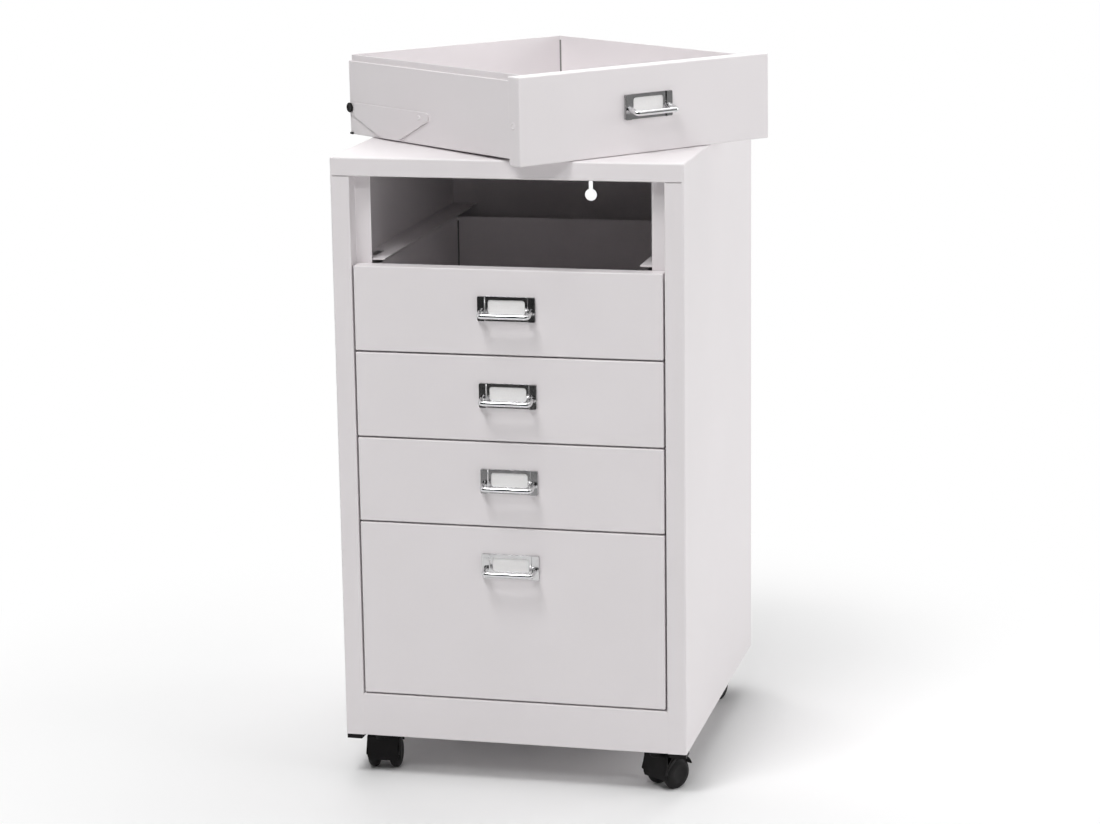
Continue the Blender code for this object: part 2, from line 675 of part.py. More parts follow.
def build_hood(name, parent):
    """Joins the hood over the wheels, the web between them and the swivel disc into one moulding."""
    inner = WHEEL_RADIUS + HOOD_GAP
    outline = axle_arc(HOOD_OUTER_RADIUS, HOOD_LEAD_ANGLE, HOOD_TRAIL_ANGLE, 16)
    outline += axle_arc(inner, HOOD_TRAIL_ANGLE, HOOD_LEAD_ANGLE, 16)
    hood = add_part(name, prism(name, outline, -WHEEL_OUTER, WHEEL_OUTER, "YZ"), "black_plastic", parent)
    half_web = WEB_THICKNESS / 2
    sunk = inner + HOOD_WALL / 2
    web_top = SWIVEL_TOP - SWIVEL_RISE / 2
    web = [axle_point(HOOD_LEAD_ANGLE / 2, sunk)]
    web += [(-COLUMN_REACH, WHEEL_RADIUS), (-COLUMN_REACH, web_top), (COLUMN_REACH, web_top)]
    web += axle_arc(sunk, math.pi / 2, HOOD_TRAIL_ANGLE - WEB_END_ANGLE, 8)
    web += axle_arc(WEB_LOW_RADIUS, HOOD_TRAIL_ANGLE, 2 * math.pi + HOOD_LEAD_ANGLE, 8)
    join(hood, prism("web", web, -half_web, half_web, "YZ"))
    disc = ((0, 0, HOOD_TOP - SWIVEL_DISC_SINK), (0, 0, SWIVEL_TOP))
    join(hood, rod("swivel_disc", SWIVEL_DISC_RADIUS, *disc, FINE_SEGMENTS))
    axle = Vector((0, CASTOR_TRAIL, WHEEL_RADIUS))
    reach = Vector((WEB_THICKNESS, 0, 0))
    cut(hood, rod("axle_bore", AXLE_DIAMETER / 2 + CLEAR, axle - reach, axle + reach))
    pin_low = SWIVEL_TOP - KING_PIN_DEPTH - CLEAR
    pin_high = SWIVEL_TOP + KING_PIN_DEPTH
    cut(hood, rod("king_pin_bore", KING_PIN_DIAMETER / 2 + CLEAR, (0, 0, pin_low), (0, 0, pin_high)))


def build_castor(prefix, place, angle, parent):
    """Builds a castor: a plate with a king pin on the case, and a hood, axle and wheels that swivel on it."""
    mount = make_empty(f"{prefix}_mount", parent, (*place, 0))
    half = TOP_PLATE_SIZE / 2
    low = SWIVEL_TOP + CLEAR
    high = low + TOP_PLATE_THICKNESS
    plate = add_part(
        f"{prefix}_plate", block("top_plate", (-half, -half, low), (half, half, high)), "steel", mount
    )
    pin = ((0, 0, SWIVEL_TOP - KING_PIN_DEPTH), (0, 0, low + TOP_PLATE_THICKNESS / 2))
    join(plate, rod("king_pin", KING_PIN_DIAMETER / 2, *pin))
    swivel = make_empty(f"{prefix}_swivel", mount, rotation=(0, 0, angle))
    build_hood(f"{prefix}_hood", swivel)
    hub = make_empty(f"{prefix}_axle_line", swivel, (0, CASTOR_TRAIL, WHEEL_RADIUS))
    end = WHEEL_OUTER - WHEEL_HUB_SINK
    add_part(f"{prefix}_axle", rod("axle", AXLE_DIAMETER / 2, (-end, 0, 0), (end, 0, 0)), "steel", hub)
    build_wheel(f"{prefix}_wheel_left", -1, hub)
    build_wheel(f"{prefix}_wheel_right", 1, hub)


def place_loose_drawer():
    """Lays the loose drawer on the case: turned, resting on its front's lower edge and its box's rear edge.

    Returns the frame in which the drawer is built, with its outline centred over the origin.
    """
    tilt = math.atan2(BOX_RISE, BOX_LENGTH)
    turn = Matrix.Rotation(LOOSE_TURN, 4, "Z") @ Matrix.Rotation(-tilt, 4, "X")
    corners = []
    roller_face = BOX_HALF + CLEAR + LEVER_THICKNESS + CLEAR + ROLLER_WIDTH
    roller_end = DRAWER_LENGTH - ROLLER_SETBACK + ROLLER_DIAMETER / 2
    roller_height = BOX_RISE + ROLLER_HEIGHT
    reaches = ((FRONT_HALF, 0, 0), (BOX_HALF, DRAWER_LENGTH, 0), (roller_face, roller_end, roller_height))
    for half, along, up in reaches:
        for side in (-1, 1):
            corners.append(turn @ Vector((side * half, along, up)))
    middle_x = (min(point.x for point in corners) + max(point.x for point in corners)) / 2
    middle_y = (min(point.y for point in corners) + max(point.y for point in corners)) / 2
    height = CASE_TOP + CLEAR + FRONT_THICKNESS * math.sin(tilt)
    return make_empty("drawer_1_place", None, (-middle_x, -middle_y, height), (-tilt, 0, LOOSE_TURN))


def build_materials():
    """Makes the finishes that the pieces use."""
    make_material("white_paint", (0.80, 0.785, 0.785), 0.42, 0.0)
    make_material("chrome", (0.75, 0.75, 0.76), 0.12, 1.0)
    make_material("steel", (0.62, 0.62, 0.62), 0.35, 1.0)
    make_material("black_plastic", (0.020, 0.020, 0.021), 0.38, 0.0)
    make_material("black_rubber", (0.018, 0.018, 0.018), 0.55, 0.0)
    make_material("white_card", (0.86, 0.86, 0.85), 0.70, 0.0)


def build():
    """Builds the whole pedestal."""
    clear_scene()
    new_collection(PART_COLLECTION)
    new_collection(CUTTER_COLLECTION)
    build_materials()
    case = make_empty("case_place", None, (CASE_X, CASE_Y, 0))
    build_wrapper(case)
    build_back_panel(case)
    build_base_pan(case)
    build_plinth(case)
    build_liner("left_liner", -1, case)
    build_liner("right_liner", 1, case)
    build_pad("left_post_pad", -1, case)
    build_pad("right_post_pad", 1, case)
    half_plate = TOP_PLATE_SIZE / 2
    across = OPENING_HALF - half_plate
    front = -HALF_DEPTH + PLATE_FRONT_SETBACK + half_plate
    rear = HALF_DEPTH - PLATE_REAR_SETBACK - half_plate
    build_castor("castor_front_left", (-across, front), FRONT_LEFT_ANGLE, case)
    build_castor("castor_front_right", (across, front), FRONT_RIGHT_ANGLE, case)
    build_castor("castor_rear_left", (-across, rear), REAR_LEFT_ANGLE, case)
    build_castor("castor_rear_right", (across, rear), REAR_RIGHT_ANGLE, case)
    count = len(FRONT_BOTTOMS)
    for index, bottom in enumerate(FRONT_BOTTOMS[:-1]):
        prefix = f"drawer_{count - index}"
        place = make_empty(f"{prefix}_place", case, (0, -HALF_DEPTH, bottom))
        build_drawer(prefix, BIG_FRONT_HEIGHT if index == 0 else SMALL_FRONT_HEIGHT, place)
    loose = place_loose_drawer()
    build_drawer("drawer_1", SMALL_FRONT_HEIGHT, loose)
    build_stop_lever("drawer_1_left_stop", -1, loose)
    build_stop_lever("drawer_1_right_stop", 1, loose)
    build_glide("drawer_1_left_glide", -1, loose)
    build_glide("drawer_1_right_glide", 1, loose)


build()
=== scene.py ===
"""Looks of a mobile office pedestal: a folded steel case on castors, with its top drawer laid on the case.

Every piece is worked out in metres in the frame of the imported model. Folded sheet is a profile with round
bends carried along an edge, turned pieces are profiles carried round an axis, and the pulls are pressed and
bent metal.
"""

import logging
import math
from dataclasses import dataclass, field
from enum import Enum

import bmesh
import bpy
import numpy as np
from mathutils import Matrix, Vector

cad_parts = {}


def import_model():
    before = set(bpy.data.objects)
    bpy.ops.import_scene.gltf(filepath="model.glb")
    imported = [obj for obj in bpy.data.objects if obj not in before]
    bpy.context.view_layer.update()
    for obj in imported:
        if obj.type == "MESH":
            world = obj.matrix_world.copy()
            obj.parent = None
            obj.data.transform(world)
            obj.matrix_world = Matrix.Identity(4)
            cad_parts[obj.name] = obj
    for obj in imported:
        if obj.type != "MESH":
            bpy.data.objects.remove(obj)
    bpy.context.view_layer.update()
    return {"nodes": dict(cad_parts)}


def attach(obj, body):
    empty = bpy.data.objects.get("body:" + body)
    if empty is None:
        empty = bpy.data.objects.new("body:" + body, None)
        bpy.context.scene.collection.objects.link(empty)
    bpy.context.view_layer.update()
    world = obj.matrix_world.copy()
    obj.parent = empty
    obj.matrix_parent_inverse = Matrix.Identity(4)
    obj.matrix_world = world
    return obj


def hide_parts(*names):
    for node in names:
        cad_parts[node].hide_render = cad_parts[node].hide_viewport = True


LOG = logging.getLogger("pedestal")

Links = dict[str, object]
Pair = tuple[float, float]
Triple = tuple[float, float, float]
Axes = tuple[int, int]

FORWARD = np.array([0.0, -1.0, 0.0])
MERGE_DISTANCE = 2e-6


class Slot(Enum):
    """The material slots."""

    PAINT = "white_paint"
    CHROME = "chrome"
    PLASTIC = "black_plastic"
    RUBBER = "black_rubber"


class Side(Enum):
    """Left or right, as the sign of X."""

    LEFT = -1
    RIGHT = 1


class Value:
    """A number that runs through a shader: arithmetic on it adds Math nodes."""

    def __init__(self, shader: "Shader", socket: bpy.types.NodeSocket) -> None:
        """Wraps an output socket of a shader."""
        self.shader = shader
        self.socket = socket

    def math(self, operation: str, first: object, second: object) -> "Value":
        """Adds one Math node.

        Args:
            operation: the Math node's operation.
            first: a value or a number.
            second: a value or a number.

        Returns:
            The node's result.
        """
        node = self.shader.node("ShaderNodeMath", {"operation": operation}, {0: first, 1: second})
        return Value(self.shader, node.outputs[0])

    def __add__(self, other: object) -> "Value":
        """Adds another value."""
        return self.math("ADD", self, other)

    def __radd__(self, other: object) -> "Value":
        """Adds this value to a number."""
        return self.math("ADD", other, self)

    def __sub__(self, other: object) -> "Value":
        """Takes another value away."""
        return self.math("SUBTRACT", self, other)

    def __mul__(self, other: object) -> "Value":
        """Multiplies by another value."""
        return self.math("MULTIPLY", self, other)

    def __rmul__(self, other: object) -> "Value":
        """Multiplies a number by this value."""
        return self.math("MULTIPLY", other, self)

    def most(self, other: object) -> "Value":
        """Takes the larger of two values."""
        return self.math("MAXIMUM", self, other)

    def between(self, low: float, high: float) -> "Value":
        """Runs smoothly from 0 at low to 1 at high.

        Args:
            low: where the step starts.
            high: where the step ends.

        Returns:
            The step as a value.
        """
        settings = {"interpolation_type": "SMOOTHSTEP"}
        links = {"Value": self, "From Min": low, "From Max": high}
        node = self.shader.node("ShaderNodeMapRange", settings, links)
        return Value(self.shader, node.outputs[0])


class Shader:
    """A node tree that is written as expressions."""

    def __init__(self, tree: bpy.types.NodeTree) -> None:
        """Empties the tree and keeps it."""
        self.tree = tree
        tree.nodes.clear()

    def node(self, kind: str, settings: dict[str, object], links: dict[object, object]) -> bpy.types.Node:
        """Adds a node of any type.

        Args:
            kind: the node's type.
            settings: properties set first.
            links: what each input socket gets: a value, a socket, a node's first output or a plain number.

        Returns:
            The node.
        """
        made = self.tree.nodes.new(kind)
        for name, setting in settings.items():
            setattr(made, name, setting)
        for key, source in links.items():
            target = made.inputs[key]
            if isinstance(source, Value):
                self.tree.links.new(source.socket, target)
            elif isinstance(source, bpy.types.NodeSocket):
                self.tree.links.new(source, target)
            elif isinstance(source, bpy.types.Node):
                self.tree.links.new(source.outputs[0], target)
            else:
                target.default_value = source
        return made

    def value(self, node: bpy.types.Node, output: str) -> Value:
        """Takes one output of a node as a value."""
        return Value(self, node.outputs[output])

    def rays(self, *kinds: str) -> Value:
        """Takes 1 on rays of the given kinds, named as the Light Path node names them, and 0 on others."""
        path = self.node("ShaderNodeLightPath", {}, {})
        found = self.value(path, kinds[0])
        for kind in kinds[1:]:
            found = found.most(self.value(path, kind))
        return found

    def noise(self, scale: float, detail: float, stretch: Triple = (1, 1, 1)) -> Value:
        """Adds noise on the piece's own coordinates.

        Args:
            scale: how many waves go in a metre.
            detail: how many finer octaves are added.
            stretch: the pattern's scale along each axis.

        Returns:
            The noise, about 0.5 on average.
        """
        place = self.node("ShaderNodeTexCoord", {}, {}).outputs["Object"]
        spread = self.node("ShaderNodeMapping", {}, {"Vector": place, "Scale": stretch})
        node = self.node("ShaderNodeTexNoise", {}, {"Vector": spread, "Scale": scale, "Detail": detail})
        return self.value(node, "Fac")

    def blend(self, amount: object, first: object, second: object) -> bpy.types.NodeSocket:
        """Mixes two colours.

        Args:
            amount: how much of the second colour shows.
            first: a colour or a socket.
            second: a colour or a socket.

        Returns:
            The mixed colour's socket.
        """
        links = {"Factor": amount, 6: first, 7: second}
        return self.node("ShaderNodeMix", {"data_type": "RGBA"}, links).outputs[2]

    def bump(self, height: Value, depth: float, strength: float, over: Links | None = None) -> bpy.types.Node:
        """Adds a bump whose height is in metres, over another one if that is given as the Normal."""
        links = {"Height": height, "Distance": depth, "Strength": strength, **(over or {})}
        return self.node("ShaderNodeBump", {}, links)

    def surface(self, links: Links) -> None:
        """Ends the tree with a Principled shader."""
        shader = self.node("ShaderNodeBsdfPrincipled", {}, links)
        self.node("ShaderNodeOutputMaterial", {}, {"Surface": shader})


def new_shader(name: str) -> tuple[bpy.types.Material, Shader]:
    """Makes an empty material.

    Args:
        name: the material's name.

    Returns:
        The material and its node tree.
    """
    material = bpy.data.materials.new(name)
    material.use_nodes = True
    return material, Shader(material.node_tree)


def tint(colour: Triple, by: float = 1.0) -> tuple[float, float, float, float]:
    """Gives a colour with alpha, made lighter or darker by a factor."""
    return (colour[0] * by, colour[1] * by, colour[2] * by, 1.0)


def shades_of(colour: Triple, factors: Pair) -> list[tuple[float, float, float, float]]:
    """Gives two shades of a colour, each made lighter or darker by its factor."""
    return [tint(colour, factor) for factor in factors]


@dataclass(frozen=True)
class PowderCoat:
    """Satin white powder coat on steel sheet: a fine orange peel, and sheet that isn't quite flat."""

    name: str = "powder_coat_white"
    colour: Triple = (0.803, 0.768, 0.780)
    roughness: float = 0.45
    peel_waves: float = 620.0
    peel_depth: float = 0.00008
    peel_lift: float = 0.20
    peel_haze: float = 0.07
    speck_waves: float = 2600.0
    sheet_waves: float = 7.0
    sheet_depth: float = 0.0016
    sheet_lift: float = 0.12
    sheet_haze: float = 0.05
    patches: Pair = (0.30, 0.70)
    shades: Pair = (0.985, 1.012)
    index: float = 1.48

    def make(self) -> bpy.types.Material:
        """Builds the finish: broad and fine noise shade the paint, and both lift the surface."""
        material, shader = new_shader(self.name)
        peel = shader.noise(self.peel_waves, 1.0)
        broad = shader.noise(self.sheet_waves, 2.0)
        speck = shader.noise(self.speck_waves, 0.0)
        shade = broad.between(*self.patches) * 0.75 + peel * 0.25
        colour = shader.blend(shade, *shades_of(self.colour, self.shades))
        waved = shader.bump(broad, self.sheet_depth, self.sheet_lift)
        peeled = shader.bump(peel * 0.8 + speck * 0.2, self.peel_depth, self.peel_lift, {"Normal": waved})
        rough = self.roughness + self.peel_haze * (peel - 0.5) + self.sheet_haze * (broad - 0.5)
        shader.surface({"Base Color": colour, "Roughness": rough, "Normal": peeled, "IOR": self.index})
        return material


@dataclass(frozen=True)
class Plating:
    """Bright plating with faint polishing marks and thin smears."""

    name: str = "chrome_plate"
    colour: Triple = (0.72, 0.72, 0.73)
    roughness: float = 0.055
    smear_waves: float = 70.0
    smear_range: Pair = (0.48, 0.74)
    smear_haze: float = 0.10
    smear_shades: Pair = (1.0, 0.93)
    mark_waves: float = 900.0
    mark_stretch: Triple = (0.12, 1.0, 2.2)
    mark_depth: float = 0.00002
    mark_lift: float = 0.10
    mark_haze: float = 0.02

    def make(self) -> bpy.types.Material:
        """Builds the finish: stretched noise draws the marks, broad noise the smears."""
        material, shader = new_shader(self.name)
        lines = shader.noise(self.mark_waves, 2.0, self.mark_stretch)
        smear = shader.noise(self.smear_waves, 3.0).between(*self.smear_range)
        colour = shader.blend(smear, *shades_of(self.colour, self.smear_shades))
        rough = self.roughness + self.smear_haze * smear * lines + self.mark_haze * lines
        raised = shader.bump(lines, self.mark_depth, self.mark_lift)
        links = {"Base Color": colour, "Metallic": 1.0, "Roughness": rough, "Normal": raised}
        shader.surface(links)
        return material


@dataclass(frozen=True)
class Moulding:
    """Moulded plastic or rubber with a fine eroded grain."""

    name: str
    colour: Triple
    roughness: float
    grain_waves: float = 1500.0
    grain_depth: float = 0.00010
    grain_lift: float = 0.35
    grain_haze: float = 0.16
    dust: float = 0.10
    dust_waves: float = 55.0
    dust_range: Pair = (0.45, 0.85)
    dust_haze: float = 0.18
    index: float = 1.24
    dust_colour: Triple = (0.16, 0.155, 0.15)

    def make(self) -> bpy.types.Material:
        """Builds the finish: fine noise is the grain, and a broad noise lays a little dust in it."""
        material, shader = new_shader(self.name)
        grain = shader.noise(self.grain_waves, 2.0)
        cloud = shader.noise(self.dust_waves, 3.0).between(*self.dust_range)
        dusty = cloud * grain * self.dust
        colour = shader.blend(dusty, tint(self.colour), tint(self.dust_colour))
        rough = self.roughness + self.grain_haze * (grain - 0.5) + self.dust_haze * dusty
        raised = shader.bump(grain, self.grain_depth, self.grain_lift)
        shader.surface({"Base Color": colour, "Roughness": rough, "Normal": raised, "IOR": self.index})
        return material


@dataclass(frozen=True)
class ZincPlate:
    """Zinc-plated steel: pale, dull patches of crystal over a drawn grain."""

    name: str = "zinc_steel"
    colour: Triple = (0.58, 0.585, 0.59)
    shades: Pair = (0.86, 1.06)
    roughness: float = 0.30
    crystal_waves: float = 420.0
    crystal_haze: float = 0.16
    grain_waves: float = 1200.0
    grain_stretch: Triple = (1.0, 0.15, 1.0)
    grain_depth: float = 0.00003
    grain_lift: float = 0.3
    grain_haze: float = 0.08

    def make(self) -> bpy.types.Material:
        """Builds the finish: cell noise gives the crystals, stretched noise the drawn grain."""
        material, shader = new_shader(self.name)
        place = shader.node("ShaderNodeTexCoord", {}, {}).outputs["Object"]
        crystal = shader.node("ShaderNodeTexVoronoi", {}, {"Vector": place, "Scale": self.crystal_waves})
        split = shader.node("ShaderNodeSeparateColor", {}, {"Color": crystal.outputs["Color"]})
        cells = shader.value(split, "Red")
        grain = shader.noise(self.grain_waves, 2.0, self.grain_stretch)
        colour = shader.blend(cells * 0.6 + grain * 0.4, *shades_of(self.colour, self.shades))
        rough = self.roughness + self.crystal_haze * cells + self.grain_haze * grain
        raised = shader.bump(grain, self.grain_depth, self.grain_lift)
        shader.surface({"Base Color": colour, "Metallic": 1.0, "Roughness": rough, "Normal": raised})
        return material


@dataclass(frozen=True)
class CardStock:
    """Plain white card with paper fibre."""

    name: str = "plain_card"
    colour: Triple = (0.91, 0.90, 0.895)
    shades: Pair = (0.965, 1.02)
    roughness: float = 0.66
    fibre_waves: float = 1300.0
    fibre_range: Pair = (0.3, 0.7)
    fibre_depth: float = 0.00005
    fibre_lift: float = 0.3
    fibre_haze: float = 0.2

    def make(self) -> bpy.types.Material:
        """Builds the finish: two crossed stretched noises are the fibres."""
        material, shader = new_shader(self.name)
        along = shader.noise(self.fibre_waves, 3.0, (1.0, 1.0, 0.25))
        over = shader.noise(self.fibre_waves, 3.0, (0.25, 1.0, 1.0))
        fibre = along * 0.5 + over * 0.5
        colour = shader.blend(fibre.between(*self.fibre_range), *shades_of(self.colour, self.shades))
        raised = shader.bump(fibre, self.fibre_depth, self.fibre_lift)
        rough = self.roughness + self.fibre_haze * fibre
        shader.surface({"Base Color": colour, "Roughness": rough, "Normal": raised})
        return material


@dataclass
class Finishes:
    """The finishes that the pieces wear, made once."""

    paint: bpy.types.Material = field(default_factory=lambda: PowderCoat().make())
    chrome: bpy.types.Material = field(default_factory=lambda: Plating().make())
    plate: bpy.types.Material = field(
        default_factory=lambda: Plating("chrome_label_plate", (0.63, 0.625, 0.63), 0.15).make()
    )
    zinc: bpy.types.Material = field(default_factory=lambda: ZincPlate().make())
    hood: bpy.types.Material = field(
        default_factory=lambda: Moulding("castor_hood_black", (0.0052, 0.0046, 0.0048), 0.46).make()
    )
    tread: bpy.types.Material = field(
        default_factory=lambda: Moulding(
            "castor_wheel_black", (0.0065, 0.0060, 0.0063), 0.50, dust=0.12, index=1.27
        ).make()
    )
    foot: bpy.types.Material = field(
        default_factory=lambda: Moulding("foot_black", (0.0075, 0.0068, 0.0070), 0.48).make()
    )
    # Dark grey for the strips in the open box seams: painted shade where the gap is shaded.
    shadow: bpy.types.Material = field(
        default_factory=lambda: Moulding("seam_painted_shade", (0.20, 0.195, 0.19), 0.7, dust=0.0, index=1.45).make()
    )
    card: bpy.types.Material = field(default_factory=lambda: CardStock().make())


def unit(vectors: np.ndarray) -> np.ndarray:
    """Scales vectors to length one along the last axis."""
    return vectors / np.linalg.norm(vectors, axis=-1, keepdims=True)


def folded(
    corners: np.ndarray, radius: float | np.ndarray, steps: int = 5, guard: float = 0.0004
) -> np.ndarray:
    """Rounds the inner corners of an open line, as a press brake folds sheet.

    The bend's centre lies one radius inside both legs. The arc starts radius times tan(half the turn) before
    the corner, and a point just outside each end keeps the legs flat.

    Args:
        corners: the line's corners, one row each.
        radius: the bend radius, or one for each inner corner.
        steps: how many parts each arc has.
        guard: how far outside the arc the extra points lie.

    Returns:
        The points of the folded line.
    """
    before = unit(corners[1:-1] - corners[:-2])
    after = unit(corners[2:] - corners[1:-1])
    cross = before[:, 0] * after[:, 1] - before[:, 1] * after[:, 0]
    turn = np.arctan2(cross, np.sum(before * after, axis=1))
    inward = np.sign(turn)[:, None] * np.stack([-before[:, 1], before[:, 0]], axis=1)
    bend = np.broadcast_to(np.asarray(radius, float), turn.shape)[:, None]
    reach = bend * np.tan(np.abs(turn) / 2)[:, None]
    start = corners[1:-1] - before * reach
    finish = corners[1:-1] + after * reach
    angle = (np.abs(turn)[:, None] * np.linspace(0, 1, steps + 1))[..., None]
    swing = np.sin(angle) * before[:, None, :] - np.cos(angle) * inward[:, None, :]
    arcs = (start + inward * bend)[:, None, :] + bend[:, None, :] * swing
    ends = [(start - guard * before)[:, None, :], arcs, (finish + guard * after)[:, None, :]]
    return np.concatenate([corners[:1], np.concatenate(ends, axis=1).reshape(-1, 2), corners[-1:]])


def rounded(corners: np.ndarray, radius: float | np.ndarray, steps: int = 5) -> np.ndarray:
    """Rounds every corner of a closed outline in the same way, and leaves out the doubled ends."""
    ring = np.concatenate([corners[-1:], corners, corners[:1]])
    return folded(ring, radius, steps, guard=0.0002)[1:-1]


def rectangles(half: np.ndarray, corner: np.ndarray, steps: int = 4, guard: float = 0.0004) -> np.ndarray:
    """Gives one rounded rectangle a row.

    Each corner is a quarter circle round a point that lies its radius inside both sides, with a point just
    outside each end of the arc.

    Args:
        half: half the width and half the height of each row.
        corner: each row's corner radius.
        steps: how many parts each quarter has.
        guard: how far outside the arc the extra points lie.

    Returns:
        The points, as rows by columns by two.
    """
    quarter = np.concatenate([[0], np.linspace(0, np.pi / 2, steps + 1), [np.pi / 2]])
    slip = np.tile(np.concatenate([[-guard], np.zeros(steps + 1), [guard]]), 4)
    angle = (np.arange(4)[:, None] * np.pi / 2 + quarter).reshape(-1)
    circle = np.stack([np.cos(angle), np.sin(angle)], axis=-1)
    tangent = np.stack([-np.sin(angle), np.cos(angle)], axis=-1)
    sign = np.repeat([[1, 1], [-1, 1], [-1, -1], [1, -1]], len(quarter), axis=0)
    radius = corner[:, None, None]
    return sign * (half[:, None, :] - radius) + radius * circle + slip[:, None] * tangent


def carried(profile: np.ndarray, axes: Axes, places: np.ndarray) -> np.ndarray:
    """Carries a flat profile straight along the third axis.

    Args:
        profile: the profile's points, two numbers each.
        axes: which two axes the profile's numbers are on.
        places: where the profile stands along the remaining axis.

    Returns:
        A grid of points, profile by places by three.
    """
    run = 3 - sum(axes)
    grid = np.zeros((len(profile), len(places), 3))
    grid[..., axes[0]] = profile[:, :1]
    grid[..., axes[1]] = profile[:, 1:]
    grid[..., run] = places
    return grid


def turned(profile: np.ndarray, segments: int) -> np.ndarray:
    """Turns a profile round the X axis: each point goes round a circle of its own radius.

    Args:
        profile: places along the axis and radii.
        segments: how many parts the circle has.

    Returns:
        A grid of points, profile by segments by three.
    """
    angle = np.linspace(0, 2 * np.pi, segments, endpoint=False)
    along = np.broadcast_to(profile[:, :1], (len(profile), segments))
    return np.stack([along, profile[:, 1:] * np.cos(angle), profile[:, 1:] * np.sin(angle)], axis=-1)


def drawn_in(outline: np.ndarray, by: np.ndarray) -> np.ndarray:
    """Moves a closed outline inward along its own normals.

    A point's normal stands square to the line between its neighbours, and the outline's signed area says
    which way is out.

    Args:
        outline: the closed outline, two numbers a point.
        by: how far it moves, once for each distance; below zero is outward.

    Returns:
        The outlines, as distances by points by two.
    """
    along = unit(np.roll(outline, -1, axis=0) - np.roll(outline, 1, axis=0))
    area = np.sum(outline[:, 0] * np.roll(outline[:, 1], -1) - outline[:, 1] * np.roll(outline[:, 0], -1))
    outward = np.sign(area) * np.stack([along[:, 1], -along[:, 0]], axis=1)
    return outline - by[:, None, None] * outward


def arc(centre: Pair, radius: float, start: float, end: float, steps: int) -> np.ndarray:
    """Gives points on an arc of a flat profile, with its angles in degrees."""
    angle = np.radians(np.linspace(start, end, steps + 1))
    return np.stack([centre[0] + radius * np.cos(angle), centre[1] + radius * np.sin(angle)], axis=-1)


def stacked(flat: np.ndarray, axes: Axes, places: np.ndarray) -> np.ndarray:
    """Lays flat outlines at their places along the third axis.

    Args:
        flat: the outlines, as rows by points by two.
        axes: which two axes the outlines' numbers are on.
        places: each row's place along the remaining axis.

    Returns:
        A grid of points, rows by points by three.
    """
    grid = np.zeros((*flat.shape[:2], 3))
    grid[..., axes[0]] = flat[..., 0]
    grid[..., axes[1]] = flat[..., 1]
    grid[..., 3 - sum(axes)] = places[:, None]
    return grid


